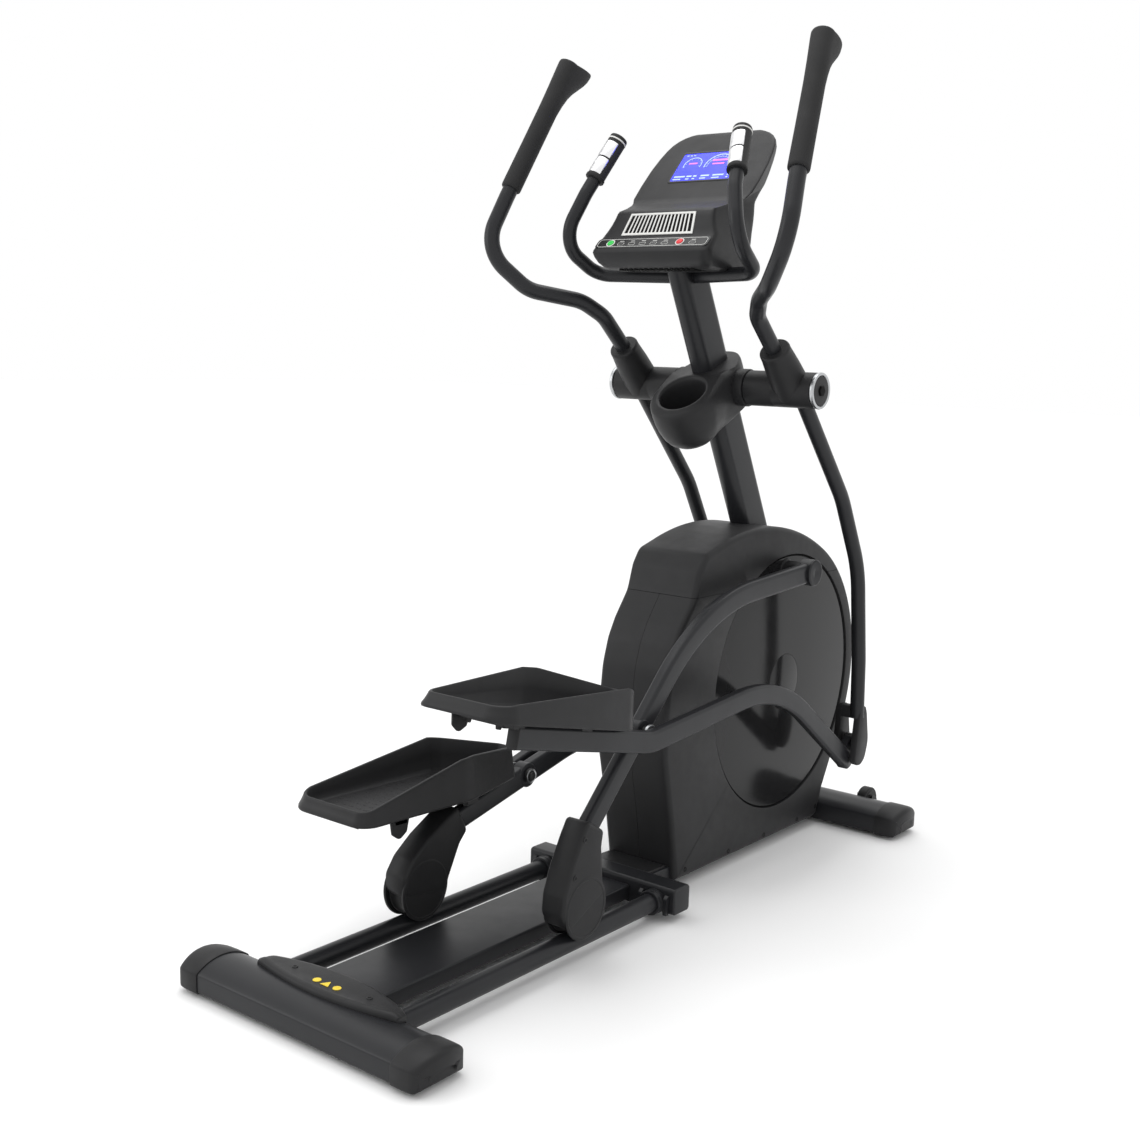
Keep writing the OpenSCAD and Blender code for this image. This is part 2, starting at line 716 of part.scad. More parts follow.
// Tube under the pedal, over the crank and down to the swing arm, with the knee pin
module pedal_link(side) color("#2c2d31") centred() on_side(side) {
    a = rest(side);
    posed(knee(a), link_angle(a)) {
        translate([link_mid, 0, 0]) difference() {
            union() {
                link_path();
                bar_x(link_front, 20, -11, 11);
                across(-10, 10) polygon([[768, -20], [806, 13], [827, 7], [812, -48], [780, -30]]);
                bar_x([link_length, 0], 16, -13, 13);
                bar_x([0, 0], 15, -14, 10);
            }
            bar_x([link_length, 0], 10, -30, 30);
        }
        bar_x([0, 0], pin_r, 119, link_in);
        bar_x([0, 0], 14, arm_out + 1, link_in + 0.5);
        bar_x([0, 0], 15, 118, arm_in - 1);
        posed(pedal_drop, pedal_tilt) for (s = [-438, -250])
            translate([62, s, 17]) cube([link_in + link_w - 62, 26, 10]);
    }
}

pedal_floor = 27;
pedal_x = [48, 245];

// Plan of the pedal tray, drawn in by d; its X is across and its Y is forward
module pedal_plan(d) polygon([
    [pedal_x[0] + d, -516 + d], [pedal_x[0] + 22, -532 + d], [pedal_x[1] - 30, -532 + d],
    [pedal_x[1] - d, -508 + d], [pedal_x[1] - d, -172 - d / 3], [pedal_x[1] - 14 - d, -152 - d],
    [150, -62 - d], [112 + d / 2, -62 - d], [98 + d, -76 - d], [pedal_x[0] + d, -255]]);

// Side outline of the pedal walls: low at the heel, high at mid toe, lower at the tip
module pedal_side(top) polygon([
    [-540, pedal_floor], [-532, pedal_floor + 38 + top], [-440, pedal_floor + 48 + top],
    [-270, pedal_floor + 84 + top], [-200, pedal_floor + 84 + top], [-60, pedal_floor + 60 + top],
    [-50, pedal_floor]]);

module pedal(side) color("#323335") centred() on_side(side) {
    a = rest(side);
    posed(knee(a), link_angle(a)) posed(pedal_drop, pedal_tilt) difference() {
        intersection() {
            translate([0, 0, pedal_floor]) linear_extrude(100) pedal_plan(0);
            across(0, 300) pedal_side(0);
        }
        translate([0, 0, pedal_floor + 7]) linear_extrude(100) pedal_plan(pedal_wall);
    }
}

// ---- Swing arms, drawn with the lower pivot straight below the axle ----

// Angle from straight down at which the shapes below are drawn
swing_draw = 24.51;

module swing_pose(side) on_side(side)
    posed(swing_c, swing_angle(rest(side)) - swing_draw) children();

// Points measured from the swing axle: [across, station, height]
lower_points = [[200, 14, -16], [200, 213, -232], [200, 310, -395], [200, 344, -610], [200, 354, -740]];
upper_points = [[183, -52, 53], [184, -150, 140], [211, -190, 170], [282, -279, 190],
    [352, -338, 270], [334, -288, 375], [291, -149, 637]];
lower_bends = [0, 220, 260, 300, 0];
upper_bends = [0, 60, 90, 75, 80, 220, 0];
pivot = swing_radius * [sin(swing_draw), -cos(swing_draw)];

// Drop-shaped outline of the lower fork's cheeks
module lug_outline() {
    translate([-13, -32]) circle(r = 24);
    circle(r = 25);
    translate([-12, 76]) circle(r = 12);
    polygon([[-36.5, -25], [-24, 77], [0, 78], [24.6, 4], [10, -38]]);
}

// Pivot sleeve, lower tube and a fork round the end of the pedal link
module swing_arm(side) color("#2c2d31") centred() swing_pose(side) {
    difference() {
        bar_x([0, 0], 24, 87, 242);
        bar_x([0, 0], axle_bore_r, 86, 243);
    }
    difference() {
        bent_rod(lower_points, lower_bends, bar_r);
        bar_x([0, 0], 23.5, 86, 243);
    }
    for (x = [[152, 167], [198, 215]]) across(x[0], x[1]) translate(pivot) lug_outline();
    across(166, 199) translate(pivot) translate([-24, 58]) square([24, 28]);
}

// Plastic sleeve over the pivot tube, with a socket for the upper bar
module swing_cover(side) color("#2a2b2d") centred() swing_pose(side) difference() {
    union() {
        bar_x([0, 0], 36, 88, 242);
        rod([186, 0, 0], [183.5, -101, 101], 30);
        translate([186, 0, 0]) rotate([45, 0, 0]) cylinder(r1 = 38, r2 = 30, h = 110);
    }
    bar_x([0, 0], 24, 86, 243);
    bent_rod(upper_points, upper_bends, bar_r);
    bent_rod(lower_points, lower_bends, bar_r);
}

module handlebar(side) color("#2c2d31") centred() swing_pose(side)
    bent_rod(upper_points, upper_bends, bar_r);

grip_low = upper_points[5];
grip_tip = upper_points[6];
grip_dir = unit(grip_tip - grip_low);

// Foam grip over the straight top of the bar, closed and flared at the tip
module grip(side) color("#1f1f20") centred() swing_pose(side) difference() {
    translate(grip_low + grip_dir * 18)
        rotate([0, acos(grip_dir[2]), atan2(grip_dir[1], grip_dir[0])]) {
            cylinder(r = 20, h = norm(grip_tip - grip_low) - 50);
            translate([0, 0, norm(grip_tip - grip_low) - 50]) cylinder(r1 = 20, r2 = 26, h = 44);
        }
    bent_rod(upper_points, upper_bends, bar_r);
}

// ---- Fasteners of the frame ----

module screw_up(p, r, h) translate(p) {
    cylinder(r = r, h = 2.4);
    translate([0, 0, -h]) cylinder(r = r * 0.5, h = h);
}

module fasteners() color("#151516") centred() {
    for (x = [-90, 90]) screw_up([x, 92, 72], 5, 9);
    for (x = [-26, 26]) translate([x, crank_y - 50, mast_bottom]) cylinder(r = 6, h = 4, $fn = 6);
}

main_beam();
rails();
cross_member();
rear_stabilizer();
rear_caps();
rear_cover();
front_stabilizer();
front_caps();
feet();
wheel_brackets();
inner_frame();
mast();
housing_shell(-1);  // housing_left
housing_shell(1);  // housing_right
housing_top();
swing_axle();
cup_holder();
pulse_bar();
pulse_grips();
pulse_plates();
console_back();
console_front();
screen();
grille();
keypad();
crank_bearings();
brake();
drive_belt();
fasteners();
crank_shaft();
drive_pulley();
crank_arm(-1);  // crank_arm_left
crank_arm(1);  // crank_arm_right
crank_disc(-1);  // crank_disc_left
crank_disc(1);  // crank_disc_right
flywheel();
transport_wheel(-1);  // transport_wheel_left
transport_wheel(1);  // transport_wheel_right
button_start();
button_stop();
roller_axle(-1);  // roller_axle_left
roller(-1);  // roller_left
roller_arm(-1);  // roller_arm_left
roller_cover(-1);  // roller_cover_left
pedal_link(-1);  // pedal_link_left
pedal(-1);  // pedal_left
swing_arm(-1);  // swing_arm_left
swing_cover(-1);  // swing_cover_left
handlebar(-1);  // handlebar_left
grip(-1);  // grip_left
roller_axle(1);  // roller_axle_right
roller(1);  // roller_right
roller_arm(1);  // roller_arm_right
roller_cover(1);  // roller_cover_right
pedal_link(1);  // pedal_link_right
pedal(1);  // pedal_right
swing_arm(1);  // swing_arm_right
swing_cover(1);  // swing_cover_right
handlebar(1);  // handlebar_right
grip(1);  // grip_right
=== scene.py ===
import math
import json
import bmesh
import bpy
from mathutils import Matrix, Vector


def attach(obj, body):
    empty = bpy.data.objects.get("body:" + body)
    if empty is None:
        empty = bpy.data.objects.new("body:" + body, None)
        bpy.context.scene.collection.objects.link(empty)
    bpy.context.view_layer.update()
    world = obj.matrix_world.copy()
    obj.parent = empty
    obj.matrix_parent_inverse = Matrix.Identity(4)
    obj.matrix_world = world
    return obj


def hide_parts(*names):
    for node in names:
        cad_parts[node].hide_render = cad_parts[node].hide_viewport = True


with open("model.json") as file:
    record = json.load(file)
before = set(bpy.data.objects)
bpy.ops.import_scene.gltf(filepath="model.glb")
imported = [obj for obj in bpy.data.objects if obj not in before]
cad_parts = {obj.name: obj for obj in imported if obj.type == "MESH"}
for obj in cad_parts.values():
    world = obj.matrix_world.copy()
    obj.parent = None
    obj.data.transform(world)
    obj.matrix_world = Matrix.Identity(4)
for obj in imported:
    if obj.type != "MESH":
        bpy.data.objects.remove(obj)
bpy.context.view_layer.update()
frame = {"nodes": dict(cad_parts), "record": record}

RECORD = frame["record"]
NODES = frame["nodes"]

H = 0.872  # half length: stations below are measured from the rear edge, as in the CAD

# the linkage, in the side plane: points are (station, height) in millimetres
CRANK = Vector((1385, 384))
CRANK_R = 258
SWING_AXLE = Vector((1175, 1040))
SWING_R = 884.7
SWING_REST = math.radians(24.51)
ARM_R = 965
KNEE = (312, 146)
LINK_R = 813.6
ROLLER_HEIGHT = 105
WHEEL = (0, 1708, 42)  # axle of the transport wheels


# ---------------------------------------------------------------- materials

def noise(nodes, links, position, scale, detail=3.0, rough=0.5):
    tex = nodes.new("ShaderNodeTexNoise")
    tex.inputs["Scale"].default_value = scale
    tex.inputs["Detail"].default_value = detail
    tex.inputs["Roughness"].default_value = rough
    links.new(position, tex.inputs["Vector"])
    return tex.outputs["Fac"]


def spread(nodes, links, value, low, high):
    """Maps a 0.3-0.7 noise value onto low-high."""
    ramp = nodes.new("ShaderNodeMapRange")
    ramp.inputs["From Min"].default_value = 0.3
    ramp.inputs["From Max"].default_value = 0.7
    ramp.inputs["To Min"].default_value = low
    ramp.inputs["To Max"].default_value = high
    links.new(value, ramp.inputs["Value"])
    return ramp.outputs["Result"]


def tint(nodes, links, value, low, high):
    """Mixes two colours by a 0.3-0.7 noise value."""
    mix = nodes.new("ShaderNodeMix")
    mix.data_type = "RGBA"
    mix.inputs[6].default_value = (*low, 1)
    mix.inputs[7].default_value = (*high, 1)
    links.new(spread(nodes, links, value, 0, 1), mix.inputs[0])
    return mix.outputs[2]


def bump(nodes, links, value, strength, distance, shader):
    node = nodes.new("ShaderNodeBump")
    node.inputs["Strength"].default_value = strength
    node.inputs["Distance"].default_value = distance
    links.new(value, node.inputs["Height"])
    links.new(node.outputs["Normal"], shader.inputs["Normal"])


def finish_material(name, low, high, rough, grain=0, grain_height=0, metallic=0.0, cloud=9.0,
                    specular=0.5, glow=0.0):
    """Two close colours and roughnesses clouded together, with a fine surface grain."""
    mat = bpy.data.materials.new(name)
    mat.use_nodes = True
    nodes, links = mat.node_tree.nodes, mat.node_tree.links
    shader = nodes["Principled BSDF"]
    position = nodes.new("ShaderNodeTexCoord").outputs["Object"]
    colour = tint(nodes, links, noise(nodes, links, position, cloud, 4.0), low, high)
    links.new(colour, shader.inputs["Base Color"])
    smudge = noise(nodes, links, position, cloud * 3.7, 5.0, 0.6)
    links.new(spread(nodes, links, smudge, *rough), shader.inputs["Roughness"])
    shader.inputs["Metallic"].default_value = metallic
    shader.inputs["Specular IOR Level"].default_value = specular
    if glow:
        links.new(colour, shader.inputs["Emission Color"])
        shader.inputs["Emission Strength"].default_value = glow
    if grain:
        bump(nodes, links, noise(nodes, links, position, grain, 2.0), 0.6, grain_height, shader)
    return mat


# colours (dark, light), roughness range, grain scale and height in metres, other options
FINISHES = {
    "frame_paint": ((0.0123, 0.0128, 0.0145), (0.0167, 0.0171, 0.0191),
        (0.3, 0.38), 900, 0.00004, {"specular": 0.26, "cloud": 5.0}),
    "housing_plastic": ((0.0154, 0.0154, 0.016), (0.0191, 0.0191, 0.0202),
        (0.42, 0.5), 1500, 0.00012, {"specular": 0.22}),
    "top_plastic": ((0.0166, 0.0166, 0.0174), (0.0205, 0.0205, 0.0216),
        (0.44, 0.52), 1500, 0.00012, {"specular": 0.22}),
    "trim_plastic": ((0.0136, 0.0136, 0.0143), (0.0178, 0.0178, 0.0188),
        (0.42, 0.5), 1400, 0.00012, {"specular": 0.22}),
    "disc_plastic": ((0.0123, 0.0123, 0.0128), (0.0145, 0.0145, 0.0151),
        (0.1, 0.15), 0, 0, {"cloud": 5.0, "specular": 0.18}),
    "steel": ((0.42, 0.43, 0.44), (0.5, 0.51, 0.52), (0.26, 0.38), 500, 0.0001, {"metallic": 1.0}),
    "bright_plate": ((0.78, 0.78, 0.79), (0.86, 0.86, 0.87), (0.3, 0.38), 700, 0.00003, {"metallic": 1.0}),
    "black_steel": ((0.01, 0.01, 0.0106), (0.014, 0.014, 0.0148),
        (0.36, 0.48), 700, 0.00006, {"specular": 0.25}),
    "flywheel_iron": ((0.1, 0.1, 0.105), (0.14, 0.14, 0.145), (0.5, 0.6), 400, 0.0003, {"metallic": 0.8}),
    "pulley_alloy": ((0.4, 0.41, 0.42), (0.47, 0.48, 0.49), (0.35, 0.45), 500, 0.0001, {"metallic": 1.0}),
    "rubber_foot": ((0.006, 0.006, 0.006), (0.008, 0.008, 0.008), (0.6, 0.7), 500, 0.0003, {"specular": 0.2}),
    "wheel_plastic": ((0.0075, 0.0075, 0.008), (0.01, 0.01, 0.0105),
        (0.42, 0.55), 900, 0.0002, {"specular": 0.22}),
    "belt_rubber": ((0.01, 0.01, 0.01), (0.015, 0.015, 0.015), (0.6, 0.7), 700, 0.0003, {}),
    "foam_grip": ((0.015, 0.015, 0.0154), (0.0185, 0.0185, 0.019),
        (0.58, 0.68), 1100, 0.0003, {"specular": 0.22}),
    "screen_lens": ((0.012, 0.02, 0.75), (0.03, 0.045, 0.95),
        (0.1, 0.16), 0, 0, {"cloud": 14.0, "specular": 0.3, "glow": 0.75}),
    "grille_white": ((0.62, 0.62, 0.6), (0.7, 0.7, 0.68), (0.35, 0.45), 900, 0.0001, {}),
    "key_black": ((0.006, 0.006, 0.0065), (0.009, 0.009, 0.0095),
        (0.24, 0.32), 900, 0.00005, {"specular": 0.25}),
    "button_green": ((0.01, 0.42, 0.05), (0.02, 0.52, 0.07), (0.28, 0.38), 900, 0.0001, {"specular": 0.3}),
    "button_red": ((0.55, 0.008, 0.015), (0.65, 0.012, 0.02), (0.28, 0.38), 900, 0.0001, {"specular": 0.3}),
    "mark_yellow": ((0.78, 0.56, 0.02), (0.86, 0.64, 0.03), (0.4, 0.5), 900, 0.0001, {}),
    # near-black: painted shade behind the disc gap, the grille and the vent slots, and the black of the
    # housing screws and end hex
    "painted_shade_and_black": ((0.003, 0.003, 0.003), (0.004, 0.004, 0.004), (0.6, 0.7), 900, 0.0001, {"specular": 0.1}),
    "gauge_light": ((0.3, 0.42, 0.95), (0.42, 0.52, 1.0), (0.2, 0.3), 900, 0.0001, {"glow": 0.6}),
    "gauge_pink": ((0.6, 0.1, 0.75), (0.7, 0.14, 0.85), (0.2, 0.3), 900, 0.0001, {"glow": 0.5}),
}
MATERIALS = {name: finish_material(name, *row[:5], **row[5]) for name, row in FINISHES.items()}

for row in RECORD["subparts"]:
    mesh_object = NODES[row["node"]]
    mesh_object.data.materials.clear()
    mesh_object.data.materials.append(MATERIALS[row["material_slot"]])


# ---------------------------------------------------------------- geometry helpers

def P(x, y, z):
    """A point given in millimetres, with its station measured from the rear edge."""
    return Vector((x / 1000, y / 1000 - H, z / 1000))


class Side:
    """The linkage of one side at rest."""

    def __init__(self, name, sign, degrees):
        self.name, self.sign = name, sign
        self.pin = CRANK + turn2((CRANK_R, 0), math.radians(degrees))
        self.arm = math.asin((self.pin.y - ROLLER_HEIGHT) / ARM_R)
        self.axle = Vector((self.pin.x - ARM_R * math.cos(self.arm), ROLLER_HEIGHT))
        self.knee = self.axle + turn2(KNEE, self.arm)
        away = self.knee - SWING_AXLE
        far = away.length
        self.swing = math.atan2(away.x, -away.y) + math.acos(
            (far * far + SWING_R ** 2 - LINK_R ** 2) / (2 * far * SWING_R))
        self.pivot = SWING_AXLE + SWING_R * Vector((math.sin(self.swing), -math.cos(self.swing)))
        reach = self.pivot - self.knee
        self.link = math.atan2(reach.y, reach.x)


def turn2(p, a):
    return Vector((p[0] * math.cos(a) - p[1] * math.sin(a), p[0] * math.sin(a) + p[1] * math.cos(a)))


RIGHT = Side("right", 1, 93.5)
LEFT = Side("left", -1, 273.5)
SIDES = (RIGHT, LEFT)


def frame_at(side, point, angle):
    """Matrix from a side-plane frame (x across outward, y along, z up, in mm) to the row frame."""
    place = Matrix.Translation(P(0, point.x, point.y))
    spin = Matrix.Rotation(angle, 4, "X")
    size = Matrix.Scale(0.001, 4)
    flip = Matrix.Diagonal((side.sign, 1, 1, 1))
    return flip @ place @ spin @ size


def row_frame():
    """Matrix from millimetres with stations from the rear edge to the row frame."""
    return Matrix.Translation((0, -H, 0)) @ Matrix.Scale(0.001, 4)


def side_frame(side):
    return Matrix.Diagonal((side.sign, 1, 1, 1)) @ row_frame()


def linked(name, data):
    """A new object in the scene."""
    obj = bpy.data.objects.new(name, data)
    bpy.context.collection.objects.link(obj)
    return obj


def add(name, bm, material, body, matrix, nodes=(), smooth=40, bevel=0.0):
    """Turns a bmesh drawn in mm into a piece on a CAD body."""
    bmesh.ops.transform(bm, matrix=matrix, verts=bm.verts)
    if matrix.determinant() < 0:
        bmesh.ops.reverse_faces(bm, faces=bm.faces)
    mesh = bpy.data.meshes.new(name)
    bm.to_mesh(mesh)
    bm.free()
    for polygon in mesh.polygons:
        polygon.use_smooth = True
    obj = linked(name, mesh)
    if bevel:
        mod = obj.modifiers.new("edge", "BEVEL")
        mod.width = bevel / 1000
        mod.segments = 2
        mod.limit_method = "ANGLE"
        mod.angle_limit = math.radians(smooth - 5)
        mod.harden_normals = True
    mesh.set_sharp_from_angle(angle=math.radians(smooth))
    obj.data.materials.append(MATERIALS[material])
    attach(obj, body)
    if nodes:
        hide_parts(*nodes)


def placer(matrix, body="frame_body", side=None):
    """A function that adds pieces on one body and in one frame, named after their side."""
    ending = f"_{side.name}" if side else ""

    def put(name, bm, material, *nodes, **options):
        """Nodes are those that the piece replaces, each with the side's ending if it has one."""
        replaced = [node + ending if node + ending in NODES else node for node in nodes]
        add(name + ending, bm, material, body, matrix, replaced, **options)
    return put


def loops_mesh(loops, cap_start=True, cap_end=True, into=None):
    """Skins rings of points; each ring has the same number of points."""
    bm = into or bmesh.new()
    rings = [[bm.verts.new(p) for p in loop] for loop in loops]
    count = len(loops[0])
    for a, b in zip(rings, rings[1:]):
        for i in range(count):
            j = (i + 1) % count
            bm.faces.new((a[i], a[j], b[j], b[i]))
    if cap_start:
        bm.faces.new(list(reversed(rings[0])))
    if cap_end:
        bm.faces.new(rings[-1])
    bmesh.ops.recalc_face_normals(bm, faces=bm.faces)
    return bm


def arc_points(x, y, r, start, end, steps):
    """Points of an arc round (x, y), from start to end in degrees."""
    turns = [math.radians(start + (end - start) * i / steps) for i in range(steps + 1)]
    return [(x + r * math.cos(a), y + r * math.sin(a)) for a in turns]


def rounded_section(h, w, r, steps=8):
    """Rounded rectangle, h along the first axis and w along the second."""
    a, b = h / 2 - r, w / 2 - r
    out = []
    for x, y, start in ((a, b, 0), (-a, b, 90), (-a, -b, 180), (a, -b, 270)):
        out += arc_points(x, y, r, start, start + 90, steps)
    return out


def circle_section(r, steps=40):
    return arc_points(0, 0, r, 0, 360, steps)[:-1]


def corner(p, d0, d1, bend, radius, steps):
    """Points and directions along a bend at p, from direction d0 to direction d1."""
    inward = (d1 - d0 * d1.dot(d0)).normalized()
    centre = p - d0 * (radius * math.tan(bend / 2)) + inward * radius
    out = []
    for k in range(steps + 1):
        a = bend * k / steps
        out.append((centre - inward * radius * math.cos(a) + d0 * radius * math.sin(a),
                    d0 * math.cos(a) + inward * math.sin(a)))
    return out


def fillet_path(points, radii, step=6.0):
    """Centreline through points with bend radii, as points and directions."""
    points = [Vector(p) for p in points]
    out = [(points[0], (points[1] - points[0]).normalized())]
    for before, p, after, radius in zip(points, points[1:], points[2:], radii[1:]):
        d0, d1 = (p - before).normalized(), (after - p).normalized()
        bend = d0.angle(d1)
        out += corner(p, d0, d1, bend, radius, max(6, int(bend * radius / step)))
    out.append((points[-1], (points[-1] - points[-2]).normalized()))
    return out


def sweep(points, radii, section, side_axis=(1, 0, 0), step=6.0):
    """Sweeps a section along a filleted path. side_axis is where the section's second axis points."""
    loops = []
    for place, along in fillet_path(points, radii, step):
        second = Vector(side_axis)
        second = (second - along * second.dot(along)).normalized()
        first = along.cross(second).normalized()
        loops.append([place + first * a + second * b for a, b in section])
    return loops_mesh(loops)


def lathe(profile, steps=64, axis="X", centre=(0, 0, 0), into=None):
    """Turns profile points (along, radius) round an axis through centre."""
    bm = into or bmesh.new()
    rings = []
    for along, radius in profile:
        loop = []
        for i in range(steps):
            a = 2 * math.pi * i / steps
            c, s = radius * math.cos(a), radius * math.sin(a)
            p = {"X": (along, c, s), "Y": (s, along, c), "Z": (c, s, along)}[axis]
            loop.append(Vector(p) + Vector(centre))
        if radius < 1e-6:
            rings.append([bm.verts.new(loop[0])] * steps)
        else:
            rings.append([bm.verts.new(p) for p in loop])
    for a, b in zip(rings, rings[1:]):
        for i in range(steps):
            j = (i + 1) % steps
            quad = dict.fromkeys((a[i], a[j], b[j], b[i]))
            if len(quad) >= 3:
                bm.faces.new(list(quad))
    bmesh.ops.recalc_face_normals(bm, faces=bm.faces)
    return bm


def side_ring(outline, x):
    """A ring in the side plane at x; outline points are (along, up)."""
    return [Vector((x, a, b)) for a, b in outline]


def flat_ring(outline, z):
    """A ring at height z; outline points are (across, along)."""
    return [Vector((a, b, z)) for a, b in outline]


def plate(outline, x0, x1, into=None):
    """A flat plate across the side plane."""
    return loops_mesh([side_ring(outline, x0), side_ring(outline, x1)], into=into)


def block(x, y, w, h, z0, z1, into):
    """A thin upright block from its corner and size."""
    outline = [(x, y), (x + w, y), (x + w, y + h), (x, y + h)]
    loops_mesh([flat_ring(outline, z0), flat_ring(outline, z1)], into=into)


def smooth_outline(points, radii, step=3.0):
    """A closed 2D outline with its corners rounded."""
    count = len(points)
    out = []
    for i in range(count):
        p0, p, p1 = (Vector(points[(i - 1) % count]), Vector(points[i]), Vector(points[(i + 1) % count]))
        radius = radii[i] if isinstance(radii, (list, tuple)) else radii
        d0, d1 = (p - p0).normalized(), (p1 - p).normalized()
        bend = math.acos(max(-1.0, min(1.0, d0.dot(d1))))
        if radius <= 0 or bend < 0.02:
            out.append(tuple(p))
            continue
        room = 0.49 * min((p - p0).length, (p1 - p).length)
        radius = min(radius, room / math.tan(bend / 2))
        steps = max(3, int(bend * radius / step))
        out += [tuple(place) for place, _ in corner(p, d0, d1, bend, radius, steps)]
    return out


# ---------------------------------------------------------------- the two linkages

def arm_frame(side):
    return frame_at(side, side.axle, side.arm)


def link_frame(side):
    return frame_at(side, side.knee, side.link)


def pedal_frame(side):
    place = side.knee + turn2((0, -13), side.link)
    return frame_at(side, place, side.link + math.radians(-0.7))


def swing_frame(side):
    return frame_at(side, SWING_AXLE, side.swing - SWING_REST)


def build_roller(side):
    put = placer(frame_at(side, side.axle, 0), f"roller_{side.name}_body")
    profile = [(-17, 6.1), (-17, 30), (-15, 31), (-15, 44), (-17, 45), (-17, 52), (-16, 53.6), (-14.4, 53.6)]
    profile += arc_points(0, 67, 19.6, 224, 316, 14)
    profile += [(14.4, 53.6), (16, 53.6), (17, 52), (17, 45), (15, 44), (15, 31), (17, 30), (17, 6.1),
                (-17, 6.1)]
    bm = lathe(profile, 72, "X", (139, 0, 0))
    put(f"roller_{side.name}_wheel", bm, "wheel_plastic", f"roller_{side.name}")


def build_arm(side):
    put = placer(arm_frame(side), f"roller_arm_{side.name}_body", side)
    section = rounded_section(44, 26, 9)
    bm = sweep([(139, 72, 94.4), (139, 604, 208), (139, 955, 5.5)], [0, 470, 0], section)
    lathe([(125.3, 0), (125.3, 23), (127, 25), (151, 25), (152.7, 23), (152.7, 0)], 48, "X", (0, *KNEE), bm)
    lathe([(126, 0), (126, 26), (128, 29), (154, 29), (154, 27.6), (155, 27.6), (155, 29), (157, 29),
           (159, 27), (159.4, 24), (159.4, 8), (158.2, 6), (158.2, 0)], 64, "X", (0, ARM_R, 0), bm)
    put("arm_tube", bm, "frame_paint", "roller_arm")

    # cover over the roller: body with soft edges, round axle disc, screws down its rear edge
    outline = smooth_outline([(-58, -4), (-57, 38), (-34, 68), (8, 98), (62, 126), (92, 139), (117, 86),
                              (96, 64), (66, 6), (56, -20)], [20, 24, 40, 60, 60, 9, 9, 30, 40, 10])
    edge = ((112.6, 9), (113, 5), (115, 1.8), (118, 0), (160, 0), (163, 1.8), (165, 5), (165.4, 9))
    bm = loops_mesh([side_ring(shrink(outline, d), x) for x, d in edge])
    put("roller_neck", bm, "trim_plastic", "roller_cover", smooth=35)
    bm = bmesh.new()
    for base, face in ((118.5, 112.4), (160, 166)):
        deep = face - base
        lathe([(base, 0), (base, 59), (base + deep * 0.5, 60), (face - deep * 0.22, 60), (face, 57.5),
               (face, 54), (face - deep * 0.14, 52.8), (face - deep * 0.14, 0)], 80, into=bm)
    put("roller_cheeks", bm, "trim_plastic", smooth=35)
    bm = bmesh.new()
    for a, b in ((8, 76), (66, 116)):
        lathe([(163, 0), (163, 5.6), (166, 5.6), (166.6, 4.8), (166.6, 2.8), (165.2, 2.2), (165.2, 0)],
              24, "X", (0, a, b), bm)
    put("cover_screws", bm, "black_steel", smooth=35)


def shrink(outline, d):
    """Moves a closed counter-clockwise or clockwise outline inwards by d."""
    if d == 0:
        return [tuple(p) for p in outline]
    count = len(outline)
    area = sum(p[0] * q[1] - q[0] * p[1] for p, q in zip(outline, outline[1:] + outline[:1]))
    sign = 1 if area > 0 else -1
    out = []
    for i in range(count):
        p0, p, p1 = Vector(outline[i - 1]), Vector(outline[i]), Vector(outline[(i + 1) % count])
        d0, d1 = (p - p0), (p1 - p)
        if d0.length < 1e-9 or d1.length < 1e-9:
            out.append(tuple(p))
            continue
        n0 = Vector((-d0.y, d0.x)).normalized() * sign
        n1 = Vector((-d1.y, d1.x)).normalized() * sign
        n = (n0 + n1)
        n = n.normalized() if n.length > 1e-6 else n0
        out.append(tuple(p + n * d / max(0.5, n.dot(n0))))
    return out


